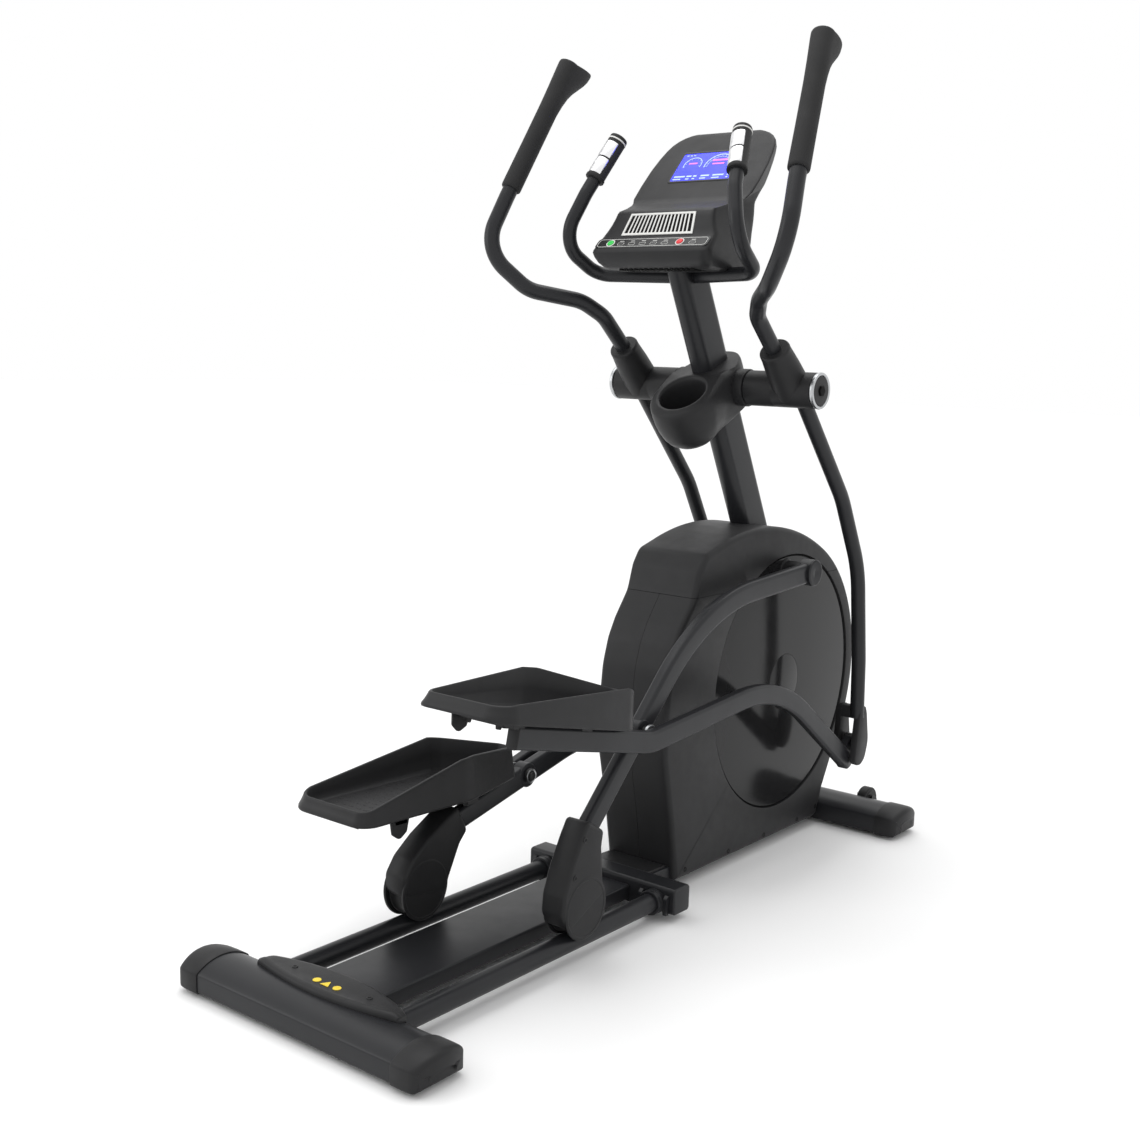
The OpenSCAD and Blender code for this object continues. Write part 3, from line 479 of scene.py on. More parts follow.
def build_link(side):
    put = placer(link_frame(side), f"pedal_link_{side.name}_body", side)
    section = rounded_section(42, 24, 7)
    points = [(182, -422, -8), (182, -20, -12.5), (182, 423, 117), (182, 796, -45.2)]
    bm = sweep(points, [0, 150, 400, 0], section)
    lathe([(170.2, 0), (170.2, 18), (172.5, 20.9), (191.5, 20.9), (193.8, 18), (193.8, 0)], 48, "X",
          (0, 796, -45.2), bm)
    plate(smooth_outline([(766, -22), (800, 12), (824, 9), (815, -44), (790, -40)], [8, 8, 10, 12, 6]),
          173, 191, bm)
    put("link_tube", bm, "frame_paint", "pedal_link")

    bm = lathe([(168.6, 0), (168.6, 13.4), (169.8, 16.6), (194.4, 16.6), (195.4, 15.4), (195.4, 0)], 40, "X",
               (0, LINK_R, 0))
    lathe([(153, 0), (153, 13.6), (154, 14.6), (169.4, 14.6), (169.9, 14), (169.9, 0)], 40, into=bm)
    lathe([(117, 0), (117, 6), (118, 14), (120, 15.4), (124.8, 15.4), (125.2, 15), (125.2, 0)], 40, into=bm)
    put("knee_pin", bm, "black_steel")
    bm = lathe([(164.4, 14.6), (164.4, 17.4), (165, 18), (169, 18), (169.7, 17.4), (169.7, 14.6)], 40)
    lathe([(117.4, 11.2), (116.8, 13.6), (117.6, 14.6), (118.4, 14.2), (118.4, 11.2)], 40, into=bm)
    put("knee_washers", bm, "steel")
    bm = lathe([(112.5, 0), (112.7, 5), (114, 8.5), (117, 9.5), (118.2, 9.5), (118.2, 0)], 32)
    put("knee_cap", bm, "black_steel")

    # plug in the tube's rear end
    loops = []
    for shift, grow in ((0, 0.3), (-1.6, 0.3), (-3.6, -2.2)):
        loops.append([Vector((182, -422 + shift, -8)) + Vector((b * (1 + grow / 12), 0, a * (1 + grow / 21)))
                      for a, b in section])
    put("link_plug", loops_mesh(loops), "trim_plastic")

    bm = bmesh.new()
    for s in (-425, -236):
        outline = smooth_outline([(s - 14, 14), (s + 14, 14), (s + 17, 27.4), (s - 17, 27.4)], 2)
        plate(outline, 64, 193.5, bm)
        for x in (82, 150):
            lathe([(6.5, 0), (6.5, 5), (13.9, 6.5), (13.9, 0)], 6, "Z", (x, s, 0), bm)
    plate(smooth_outline([(-452, 27.4), (-446, -2), (-428, -14), (-410, -2), (-404, 27.4)], [2, 6, 10, 6, 2]),
          64, 68, bm)
    plate(smooth_outline([(-440, 27.4), (-440, 12), (-222, 12), (-222, 27.4)], 2), 168, 172, bm)
    put = placer(pedal_frame(side), f"pedal_link_{side.name}_body", side)
    put("pedal_brackets", bm, "black_steel", smooth=35, bevel=0.8)


PEDAL_PLAN = [(48, -510), (66, -532), (216, -532), (245, -506), (245, -176), (232, -154), (150, -62),
              (112, -60), (98, -76), (48, -255)]
PEDAL_RADII = [34, 40, 44, 40, 60, 60, 24, 16, 40, 160]


def pedal_rim(a):
    """Height of the rim above the pedal's own base line, by station."""
    keys = [(-540, 50), (-500, 57), (-446, 71), (-400, 83), (-345, 97), (-288, 107), (-240, 109), (-205, 104),
            (-150, 98), (-100, 92), (-56, 86)]
    for (a0, h0), (a1, h1) in zip(keys, keys[1:]):
        if a <= a1:
            return h0 + (h1 - h0) * max(0, a - a0) / (a1 - a0)
    return keys[-1][1]


def build_pedal(side):
    put = placer(pedal_frame(side), f"pedal_link_{side.name}_body", side)
    plan = smooth_outline(PEDAL_PLAN, PEDAL_RADII, 6)
    # up the outside, over the rim and down to the floor: inset from the plan, then a height that is
    # a level, a share of the way from it to the rim, and a step
    section = [(4, 27, 0, 0), (1.2, 27.6, 0, 0), (0, 29.6, 0, 0), (0.3, 33, 0, 0), (4.6, 27, 0.5, 0),
               (8.4, 0, 1, -5), (9.2, 0, 1, -2.2), (10.6, 0, 1, -0.5), (12.6, 0, 1, 0), (14.4, 0, 1, -0.7),
               (15.6, 0, 1, -2.8), (18.4, 34, 0.5, 0), (22, 34, 0.13, 0), (26, 34.7, 0, 0), (32, 34.2, 0, 0)]
    bm = loops_mesh([[Vector((x, a, level + (pedal_rim(a) - level) * share + step))
                      for x, a in shrink(plan, inset)] for inset, level, share, step in section])
    put("pedal_tray", bm, "housing_plastic", "pedal", smooth=50)

    # non-slip lugs moulded on the floor, in rows
    bm = bmesh.new()
    inner = shrink(plan, 36)
    for row in range(22):
        a = -500 + row * 20
        for col in range(10):
            x = 62 + col * 19 + (9.5 if row % 2 else 0)
            if not inside(inner, x, a):
                continue
            outline = [(x - 6, a - 2.2), (x + 6, a - 2.2), (x + 6, a + 2.2), (x - 6, a + 2.2)]
            top = [(x - 5, a - 1.4), (x + 5, a - 1.4), (x + 5, a + 1.4), (x - 5, a + 1.4)]
            loops_mesh([flat_ring(outline, 34.0), flat_ring(top, 34.9)], into=bm)
    put("pedal_lugs", bm, "housing_plastic")


def inside(outline, x, y):
    hit = False
    for i in range(len(outline)):
        (x0, y0), (x1, y1) = outline[i - 1], outline[i]
        if (y0 > y) != (y1 > y) and x < (x1 - x0) * (y - y0) / (y1 - y0) + x0:
            hit = not hit
    return hit


def build_swing(side):
    put = placer(swing_frame(side), f"swing_{side.name}_body", side)
    lower = [(200, 14, -16), (200, 213, -232), (200, 310, -395), (200, 344, -610), (200, 354, -744)]
    bm = sweep(lower, [0, 220, 260, 300, 0], circle_section(16))
    put("lower_tube", bm, "frame_paint", "swing_arm")

    pivot = SWING_R * Vector((math.sin(SWING_REST), -math.cos(SWING_REST)))
    drop = smooth_outline([(-36, -25), (-37, -40), (-14, -56), (12, -42), (25.5, 0), (10, 70), (2, 87),
                           (-17, 87), (-25, 76)], [40, 24, 24, 30, 60, 40, 8, 8, 40])
    drop = [(a + pivot.x, b + pivot.y) for a, b in drop]
    for label, xs in (("outer", ((198, 3), (199, 0.6), (210, 0), (213.6, 1.4), (215, 4.5))),
                      ("inner", ((152, 4), (153, 1.4), (156, 0), (166, 0), (166.8, 2)))):
        loops = [side_ring(shrink(drop, d), x) for x, d in xs]
        put(f"fork_{label}", loops_mesh(loops), "trim_plastic", smooth=35)
    bridge = smooth_outline([(-26, 58), (0, 58), (-2, 87), (-24, 87)], 4)
    bm = plate([(a + pivot.x, b + pivot.y) for a, b in bridge], 166, 199)
    put("fork_bridge", bm, "trim_plastic", bevel=1.5)
    bm = lathe([(212, 0), (212, 4.6), (214.9, 4.6), (215.7, 3.8), (215.7, 2.2), (214.6, 1.6), (214.6, 0)], 24,
               "X", (0, pivot.x - 10, pivot.y + 72))
    put("fork_screw", bm, "black_steel")

    # sleeve round the pivot tube with its socket
    bm = lathe([(87.2, 24.2), (87.2, 34), (89, 36), (150, 36), (152, 35.4), (154, 36), (238, 36), (241.4, 35),
                (242.4, 33), (242.4, 24.2)], 72)
    along = Vector((0, -0.7071, 0.7071))
    cone_loops = []
    for t, r in ((0, 37.5), (20, 37.2), (60, 35.0), (96, 31.6), (104, 31.2), (107, 31.4), (110, 30.6),
                 (112, 28.6), (112.4, 17)):
        cone_loops.append([Vector((186 - t * 0.02 + c, 0.7071 * s, 0.7071 * s)) + along * t
                           for c, s in circle_section(r, 64)])
    loops_mesh(cone_loops, into=bm, cap_start=False)
    put("sleeve", bm, "trim_plastic", "swing_cover", smooth=35)

    upper = [(183, -52, 53), (184, -150, 140), (211, -190, 170), (282, -279, 190), (352, -338, 270),
             (334, -288, 375), (291, -149, 637)]
    bm = sweep(upper, [0, 60, 90, 75, 80, 220, 0], circle_section(16), side_axis=(1, 0.2, 0.1))
    put("handlebar_tube", bm, "frame_paint", "handlebar")

    low, tip = Vector(upper[5]), Vector(upper[6])
    along = (tip - low).normalized()
    length = (tip - low).length
    second = (Vector((1, 0, 0)) - along * along.x).normalized()
    first = along.cross(second).normalized()
    loops = []
    # radius, and how far the front of the flared top reaches beyond it
    stations = [(18, 16.2, 0), (18.4, 19.2, 0), (20, 20.4, 0), (24, 20.8, 0), (120, 20.4, 0),
                (length - 100, 20.4, 0), (length - 76, 20.8, 3), (length - 56, 21.2, 8),
                (length - 42, 21.6, 15), (length - 30, 22, 24), (length - 18, 22.4, 33),
                (length - 8, 22.8, 38), (length + 4, 23, 40), (length + 8, 22.8, 40),
                (length + 10, 22, 39.6), (length + 11, 20, 38.4), (length + 11.6, 12, 22),
                (length + 11.8, 3, 5)]
    for t, r, reach in stations:
        loop = []
        for i in range(56):
            a = 2 * math.pi * i / 56
            c, q = math.cos(a), math.sin(a)
            front = reach * max(0.0, q)
            loop.append(low + along * (t + 0.45 * front) + second * r * c + first * (r * q + front))
        loops.append(loop)
    put("grip_foam", loops_mesh(loops), "foam_grip", "grip", smooth=50)


def build_crank(side):
    bm = bmesh.new()
    lathe([(80.4, 0), (80.4, 285.2), (81.4, 286), (83.4, 286), (84.3, 285.2), (84.5, 283), (84.5, 64.2),
           (84.1, 63.8), (84.1, 62.6), (84.9, 62), (85.3, 60), (85.3, 0)], 180, into=bm)
    placer(frame_at(side, CRANK, 0), "crank_body", side)("disc", bm, "disc_plastic", "crank_disc", smooth=30)
    angle = math.atan2(side.pin.y - CRANK.y, side.pin.x - CRANK.x)
    bm = lathe([(62, 0), (62, 26), (79, 26), (79, 20), (84.4, 20), (84.4, 25.6), (86.6, 24.6), (88.4, 20.4),
                (122.5, 20), (124.4, 18.6), (124.4, 9), (122, 8), (122, 0)], 56, "X", (0, 258, 0))
    plate(smooth_outline([(0, -18), (258, -18), (258, 18), (0, 18)], 3), 64, 78, bm)
    lathe([(60, 0), (60, 28), (79, 28), (79, 0)], 48, into=bm)
    placer(frame_at(side, CRANK, angle), "crank_body", side)("crank_web", bm, "black_steel", "crank_arm",
                                                              smooth=30)


for each in SIDES:
    build_roller(each)
    build_arm(each)
    build_link(each)
    build_pedal(each)
    build_swing(each)
    build_crank(each)


# ---------------------------------------------------------------- housing

def housing_outline():
    """Side outline of the housing as (station, height) points."""
    rear = smooth_outline([(976, 22), (950, 160), (917, 300), (917, 390), (924, 470), (940, 525), (962, 565),
                           (1002, 618), (1018, 672), (1040, 703), (1085, 716), (1085, 22)],
                          [0, 300, 160, 260, 160, 90, 90, 60, 60, 30, 0, 0], 5)
    points = [p for p in rear if p[0] < 1078 and not (p[1] < 23 and p[0] > 990)]
    # the crown's arc starts above the rear face and runs into an arc round the crank
    crown = Vector((1262, 155))
    offset = CRANK - crown
    crown_r = 328 + offset.length
    switch = math.degrees(math.atan2(offset.y, offset.x))
    start = math.degrees(math.acos((1085 - crown.x) / crown_r))
    points += arc_points(*crown, crown_r, start, switch, 60)
    points += arc_points(*CRANK, 328, switch, -28, 60)[1:]
    points += [(1648, 180), (1622, 131), (1600, 90), (1596, 80), (1590, 64), (1582, 42), (1578, 32),
               (1573, 25), (1566, 22), (1500, 22), (1400, 22), (1300, 22), (1200, 22), (1100, 22), (1040, 22)]
    return points


def resample(points, step):
    """Even spacing along a closed outline."""
    out = []
    count = len(points)
    for i in range(count):
        a, b = Vector(points[i]), Vector(points[(i + 1) % count])
        n = max(1, round((b - a).length / step))
        for k in range(n):
            out.append(tuple(a.lerp(b, k / n)))
    return out


def build_housing():
    outline = resample(housing_outline(), 9)
    for side in SIDES:
        put = placer(side_frame(side), side=side)
        edge = 12
        rings = [side_ring(outline, x) for x in (0, 20, 40, 60)]
        for k in range(9):
            t = math.radians(90 * k / 8)
            rings.append(side_ring(shrink(outline, edge * (1 - math.cos(t))), 88 - edge + edge * math.sin(t)))
        ways = [(Vector(p) - CRANK).normalized() for p in shrink(outline, edge)]
        for radius, x in ((291.6, 88), (290.4, 87.6), (290, 86.6), (290, 78)):
            rings.append(side_ring([CRANK + way * radius for way in ways], x))
        bm = loops_mesh(rings, cap_start=False, cap_end=False)
        top = bm.copy()
        for mesh, height, keep_top in ((bm, 617.6, False), (top, 618.4, True)):
            geom = mesh.verts[:] + mesh.edges[:] + mesh.faces[:]
            bmesh.ops.bisect_plane(mesh, geom=geom, plane_co=(0, 0, height), plane_no=(0, 0, 1),
                                   clear_inner=keep_top, clear_outer=not keep_top)
        geom = bm.verts[:] + bm.edges[:] + bm.faces[:]
        bmesh.ops.bisect_plane(bm, geom=geom, plane_co=(0.3, 0, 0), plane_no=(1, 0, 0), clear_inner=True)
        put("shell", bm, "housing_plastic", "housing", smooth=30)
        put("cap", top, "top_plastic", "housing_top", smooth=30)
        # near-black ring behind the disc: painted shade seen through the gap round the disc
        bm = lathe([(79.6, 40), (79.6, 289.9)], 96, "X", (0, *CRANK))
        put("disc_gap_shade", bm, "painted_shade_and_black")
        # screws along the bottom edge
        bm = bmesh.new()
        for station, height in ((1010, 40), (1180, 36), (1330, 36), (1480, 36), (1566, 48)):
            lathe([(87, 0), (87, 5.2), (88.3, 5.2), (88.5, 4.4), (88.5, 3.2), (86.9, 2.4), (86.9, 0)], 20,
                  "X", (0, station, height), bm)
        put("shell_screws", bm, "painted_shade_and_black")


# ---------------------------------------------------------------- base

def stab_outline(top):
    """Section of a stabilizer: flat underneath and crowned on top."""
    half, crown = 55.5, 19.0
    r = (half * half + crown * crown) / (2 * crown)
    points = [(-half, 9), (half, 9), (half, top - crown)]
    reach = math.degrees(math.asin(half / r))
    points += arc_points(0, top - r, r, 90 - reach, 90 + reach, 24)[1:-1]
    points.append((-half, top - crown))
    return smooth_outline(points, [5, 5, 7] + [0] * 23 + [7], 2)


def carved(base, tool):
    """The base bmesh with the tool bmesh cut out of it."""
    holders = []
    for bm in (base, tool):
        mesh = bpy.data.meshes.new("carving")
        bm.to_mesh(mesh)
        bm.free()
        holders.append(linked("carving", mesh))
    mod = holders[0].modifiers.new("cut", "BOOLEAN")
    mod.operation = "DIFFERENCE"
    mod.solver = "EXACT"
    mod.object = holders[1]
    out = bmesh.new()
    out.from_object(holders[0], bpy.context.evaluated_depsgraph_get())
    for holder in holders:
        mesh = holder.data
        bpy.data.objects.remove(holder)
        bpy.data.meshes.remove(mesh)
    return out


def build_stabilizer(label, y, top):
    section = stab_outline(top)
    rings = [[Vector((x, y + a, b)) for a, b in section] for x in (-233, 0, 233)]
    tube = loops_mesh(rings)
    if label == "front":
        wells = bmesh.new()
        for side in SIDES:
            lathe([(134, 0), (134, 38), (166, 38), (166, 0)], 64, "X", WHEEL, wells)
            if side.sign > 0:
                bmesh.ops.scale(wells, vec=(-1, 1, 1), verts=wells.verts)
                bmesh.ops.reverse_faces(wells, faces=wells.faces)
        tube = carved(tube, wells)
    placer(row_frame())(f"{label}_tube", tube, "frame_paint", f"{label}_stabilizer", smooth=30)
    for side in SIDES:
        put = placer(side_frame(side), side=side)
        rings = []
        for x, d in ((232.4, 0.6), (232.6, -1.6), (234.4, -2.6), (262, -2.6), (278, -2.2), (285, -1),
                     (289, 1.4), (291.4, 4.6), (292.3, 8), (292.4, 26)):
            # the outer end curves back towards the tube's edges in plan
            bow = 10 * max(0, x - 250) / 42
            rings.append([Vector((x - bow * (a / 58) ** 2, y + a, b)) for a, b in shrink(section, d)])
        put(f"{label}_cap", loops_mesh(rings), "trim_plastic", f"{label}_caps", smooth=35)


def build_base():
    put = placer(row_frame())
    build_stabilizer("rear", 57.5, 62)
    build_stabilizer("front", 1645, 68)

    bm = bmesh.new()
    for s in (-1, 1):
        for y in (57.5, 1645):
            lathe([(0, 0), (0, 18), (1.2, 19.6), (5, 20), (6, 15), (10, 14), (10, 0)], 40,
                  "Z", (s * 180, y, 0), bm)
    put("foot_pads", bm, "rubber_foot", "feet")

    section = rounded_section(30, 150, 4)
    bm = loops_mesh([[Vector((b, y, 39 + a)) for a, b in section] for y in (113, 900, 1589)])
    put("beam_tube", bm, "frame_paint", "main_beam", smooth=30)

    bm = bmesh.new()
    for s in (-1, 1):
        lathe([(112, 15), (112, 19), (806, 19), (829, 19)], 56, "Y", (s * 139, 0, 38), bm)
    put("rail_tubes", bm, "frame_paint", "rails", smooth=30)

    rings = []
    for x, d in ((-185, 4), (-184.4, 1.6), (-182, 0), (182, 0), (184.4, 1.6), (185, 4)):
        rings.append([Vector((x, 855 + a, 43 + b)) for a, b in shrink(rounded_section(54, 54, 8), d)])
    bm = loops_mesh(rings)
    for s in (-1, 1):
        lathe([(806, 19.1), (806, 24), (807, 25), (815, 25), (816, 24), (817, 24), (818, 25), (827, 25),
               (828.6, 24), (828.6, 19.1)], 56, "Y", (s * 139, 0, 38), bm)
        for x in (s * 108, s * 168):
            plate(smooth_outline([(818, 16), (828.2, 16), (828.2, 58), (818, 50)], 2), x - 4, x + 4, bm)
    put("cross_box", bm, "frame_paint", "cross_member", smooth=30)

    bm = bmesh.new()
    plate(smooth_outline([(882.2, 54), (960, 54), (960, 58), (900, 60), (882.2, 68)], 1), -70, 70, bm)
    put("beam_shoe", bm, "trim_plastic", bevel=1.2)

    # rear cover plate: crowned in plan, with a rolled rear lip
    def rear_edge(x):
        return 655 - math.sqrt(600 ** 2 - x ** 2)

    def front_edge(x):
        return -300 + math.sqrt(436 ** 2 - x ** 2)

    xs = [-167 + 334 * i / 60 for i in range(61)]
    rows = []
    # share of the way from the rear edge to the front one, shift in mm, height
    profile = [(0, 0, 56), (0, 0.006, 66), (0, 2, 69.6), (0, 5, 71.4), (0, 9, 72), (0, 13, 71.6),
               (0, 17, 70.6), (0.5, 0, 70.4), (1, -8, 70), (1, -3, 69.2), (1, -0.6, 67), (1, 0, 63),
               (1, 0, 56)]
    bm = bmesh.new()
    for share, shift, z in profile:
        row = []
        for x in xs:
            r, f = rear_edge(x), front_edge(x)
            base = (r * (1 - share) + f * share) + (shift if f - r > 30 else shift * (f - r) / 30)
            droop = max(0, (abs(x) - 150) / 17) ** 2 * 5
            row.append(bm.verts.new((x, base, max(54, z - droop))))
        rows.append(row)
    for r0, r1 in zip(rows, rows[1:]):
        for i in range(len(xs) - 1):
            bm.faces.new((r0[i], r0[i + 1], r1[i + 1], r1[i]))
    for i in (0, -1):
        bm.faces.new([row[i] for row in rows])
    bmesh.ops.recalc_face_normals(bm, faces=bm.faces)
    put("rear_cover_plate", bm, "trim_plastic", "rear_cover", smooth=60)

    bm = bmesh.new()
    for x in (-90, 90):
        lathe([(68, 0), (68, 5.6), (71, 5.6), (71.8, 4.6), (71.8, 3), (70.6, 2.4), (70.6, 0)], 24, "Z",
              (x, 96, 0), bm)
    for x in (-26, 26):
        lathe([(644, 0), (644, 6.6), (653, 6.6), (654, 5.4), (654, 0)], 6, "Z", (x, 1335, 0), bm)
    put("small_screws", bm, "black_steel", "fasteners", smooth=30)

    # plain yellow marks: a triangle between two discs
    bm = bmesh.new()
    for x in (-24, 24):
        lathe([(70.0, 0), (71.3, 0.001), (71.3, 7.2), (70.8, 7.4), (70.0, 7.4)], 32, "Z", (x, 86, 0), bm)
    loops_mesh([flat_ring([(9.5, 79), (0, 95), (-9.5, 79)], z) for z in (70.0, 71.3)], into=bm)
    put("yellow_marks", bm, "mark_yellow")

    for side in SIDES:
        bm = lathe([(134.6, 5.1), (134.6, 10), (137, 10), (137, 28), (138.4, 29), (139.2, 34.6), (141, 36),
                    (159, 36), (160.8, 34.6), (161.6, 29), (163, 28), (163, 10), (165.4, 10),
                    (165.4, 5.1)], 64, "X", WHEEL)
        put = placer(side_frame(side), f"transport_wheel_{side.name}_body", side)
        put("front_roller", bm, "wheel_plastic", "transport_wheel", smooth=30)
        bm = bmesh.new()
        ear = smooth_outline([(1699, 24), (1704, 24), (1726, 30), (1727, 54), (1704, 62), (1699, 62)],
                             [0, 6, 16, 16, 6, 0])
        for x in (130, 166):
            plate(ear, x, x + 4, bm)
        lathe([(125.4, 0), (125.4, 8), (126.6, 9.4), (130, 9.4), (130, 5), (170, 5), (170, 9.4), (173.4, 9.4),
               (174.6, 8), (174.6, 0)], 32, "X", WHEEL, bm)
        put = placer(side_frame(side), side=side)
        put("wheel_ears", bm, "black_steel", "wheel_brackets", smooth=30, bevel=0.8)


# ---------------------------------------------------------------- mast, axle and cup holder

LEAN = math.radians(28.5)
CUP = -114  # the cup's axis, behind the mast's


def mast_frame():
    return Matrix.Translation(P(0, *SWING_AXLE)) @ Matrix.Rotation(LEAN, 4, "X") @ Matrix.Scale(0.001, 4)


def build_mast():
    put = placer(mast_frame())
    section = [(b, a) for a, b in rounded_section(98, 46, 22.4, 14)]
    rings = [[Vector((a, b, w)) for a, b in section] for w in (-430, 0, 300)]
    bm = loops_mesh(rings)
    put("mast_tube", bm, "frame_paint", "mast", smooth=30)

    # body of the cup holder: a round cup run into the mast's shroud
    plan = smooth_outline([(-72, CUP), (-60, 20), (-34, 72), (34, 72), (60, 20), (72, CUP)],
                          [0, 60, 44, 44, 60, 0], 4)
    plan = [p for p in plan if p[1] > -113.9]
    outline = resample(plan + arc_points(0, CUP, 72, 0, -180, 36), 7)

    def lift(v, w):
        """The rim slopes down towards the user, more so than the rest of the holder."""
        rise = 0.176 * (v - CUP) if v < -44 else 12.3 * max(0.0, (10 - v) / 54)
        return w + rise * max(0.0, min(1.0, (w + 20) / 66))

    rings = []
    for w, share, w_mast in ((-71, 0.12, -46), (-69, 0.34, -46), (-63, 0.54, -45.6), (-53, 0.71, -44.6),
                             (-39, 0.84, -41), (-21, 0.925, -33), (-2, 0.97, -18), (16, 0.99, 4),
                             (33, 0.99, 26), (40, 0.98, 38), (44, 0.95, 42.5), (46, 0.90, 46)):
        ring = []
        for a, b in outline:
            t = max(0.0, min(1.0, (b + 70) / 70))
            t = t * t * (3 - 2 * t)
            k = share + (1 - share) * t if w < 36 else share
            height = w + (w_mast - w) * t
            centre = CUP if b < 0 else CUP * max(0.0, 1 - b / 60)
            keep = k if b < 0 else 1 - (1 - k) * 0.5
            ring.append(Vector((a * keep, centre + (b - centre) * keep, lift(b, height))))
        rings.append(ring)
    bm = loops_mesh(rings, cap_end=False)
    put("cup_shroud", bm, "trim_plastic", "cup_holder", smooth=50)
    ways = [Vector((p.x, p.y - CUP)).normalized() for p in rings[-1]]
    loops = [rings[-1]]
    for r, w in ((60, 46.6), (57, 47.6), (53, 47.4), (50, 45.6), (48.6, 42), (48, 30), (46.6, -30), (44, -36),
                 (38, -38), (1, -38)):
        loops.append([Vector((way.x * r, CUP + way.y * r, lift(CUP + way.y * r, w))) for way in ways])
    bm = loops_mesh(loops, cap_start=False)
    put("cup_well", bm, "trim_plastic", smooth=40)
    for side in SIDES:
        put_end = placer(frame_at(side, SWING_AXLE, 0), side=side)
        bm = lathe([(40, 0), (40, 37), (60, 38.5), (83, 38.5), (85.4, 37.4), (86, 35), (86, 20)], 72)
        put_end("axle_collar", bm, "trim_plastic", smooth=35)
        bm = lathe([(86, 15), (244, 15), (244, 0)], 40)
        lathe([(243.2, 16), (243.2, 34.6), (244.2, 36.2), (247.6, 36.8), (250.4, 36.2), (251.6, 34.4),
               (251.2, 31.4), (249, 30), (249, 0)], 72, into=bm)
        put_end("end_ring", bm, "steel", "swing_axle", smooth=30)
        bm = lathe([(250, 29.8), (250.8, 29), (251, 27), (251, 13.4), (250.4, 12.6), (250.4, 0)])
        put_end("end_disc", bm, "top_plastic", smooth=30)
        bm = lathe([(250.2, 0), (250.2, 11), (253.4, 11), (254.4, 9.6), (254.4, 0)], 6)
        put_end("end_hex", bm, "painted_shade_and_black", smooth=30)


build_housing()
build_base()
build_mast()


# ---------------------------------------------------------------- console and pulse bar

def build_pulse():
    points = [(0, 1057, 1258), (190, 1004, 1260), (206, 902, 1318), (175, 937, 1414), (147, 998, 1519)]
    for side in SIDES:
        put = placer(side_frame(side), side=side)
        bm = sweep(points, [0, 45, 62, 60, 0], circle_section(14), side_axis=(0.6, 0.4, 1), step=4)
        put("pulse_tube", bm, "frame_paint", "pulse_bar", smooth=50)
        low, tip = Vector(points[3]), Vector(points[4])
        along = (tip - low).normalized()
        rear = (Vector((0, -1, 0)) - along * along.dot(Vector((0, -1, 0)))).normalized()
        across = along.cross(rear).normalized()
        length = (tip - low).length + 10

        def tube(stations, capped=True):
            rings = [[low + along * t + rear * a + across * b for a, b in circle_section(r, 56)]
                     for t, r in stations]
            return loops_mesh(rings, capped, capped)

        bm = tube([(34, 14.2), (34, 19.4), (35, 20.2), (40, 20.2), (41, 19.4), (42, 18.7),
                   (length - 3, 18.7), (length - 1, 17.8), (length, 16)])
        put("pulse_grip", bm, "foam_grip", "pulse_grips", smooth=40)
        bm = tube([(length - 11.4, 18.5), (length - 11, 19.5), (length - 8.6, 19.5), (length - 8.2, 18.5)],
                  capped=False)
        put("pulse_ring", bm, "grille_white", smooth=40)
        bm = bmesh.new()
        for t in (43, 81):
            loops = []
            for k in range(21):
                a = math.radians(-56 + 112 * k / 20)
                ca, sa = math.cos(a), math.sin(a)
                top = 19.9 if 0 < k < 20 else 18.8
                loops.append([low + along * (t + z) + rear * (r * ca) + across * (r * sa)
                              for z, r in ((0, 18.4), (0.4, top - 0.5), (1.4, top), (33.6, top),
                                           (34.6, top - 0.5), (35, 18.4))])
            loops_mesh(loops, into=bm)
        put("pulse_plates", bm, "bright_plate", "pulse_plates", smooth=30)


FACE = [(908, 1300), (938, 1329), (962, 1376), (1040, 1402), (1172, 1546)]


def on_face(p, q, up):
    """Matrix of a face frame: X across, Y up the face, Z out of it."""
    d = Vector(q) - Vector(p)
    a = math.atan2(d.y, d.x)
    mid = Vector(p) + d.normalized() * up
    return Matrix.Translation(P(0, mid.x, mid.y)) @ Matrix.Rotation(a, 4, "X") @ Matrix.Scale(0.001, 4)


def rounded_corners(corners, radii, steps=10):
    """The same number of points at every corner, so that stacked outlines line up."""
    out = []
    for i, radius in enumerate(radii):
        corner = Vector(corners[i])
        back = Vector(corners[i - 1]) - corner
        ahead = Vector(corners[(i + 1) % len(corners)]) - corner
        start = corner + back.normalized() * min(radius, back.length * 0.48)
        end = corner + ahead.normalized() * min(radius, ahead.length * 0.48)
        for k in range(steps + 1):
            t = k / steps
            p = start * (1 - t) ** 2 + corner * (2 * t * (1 - t)) + end * t ** 2
            out.append((p.x, p.y))
    return out


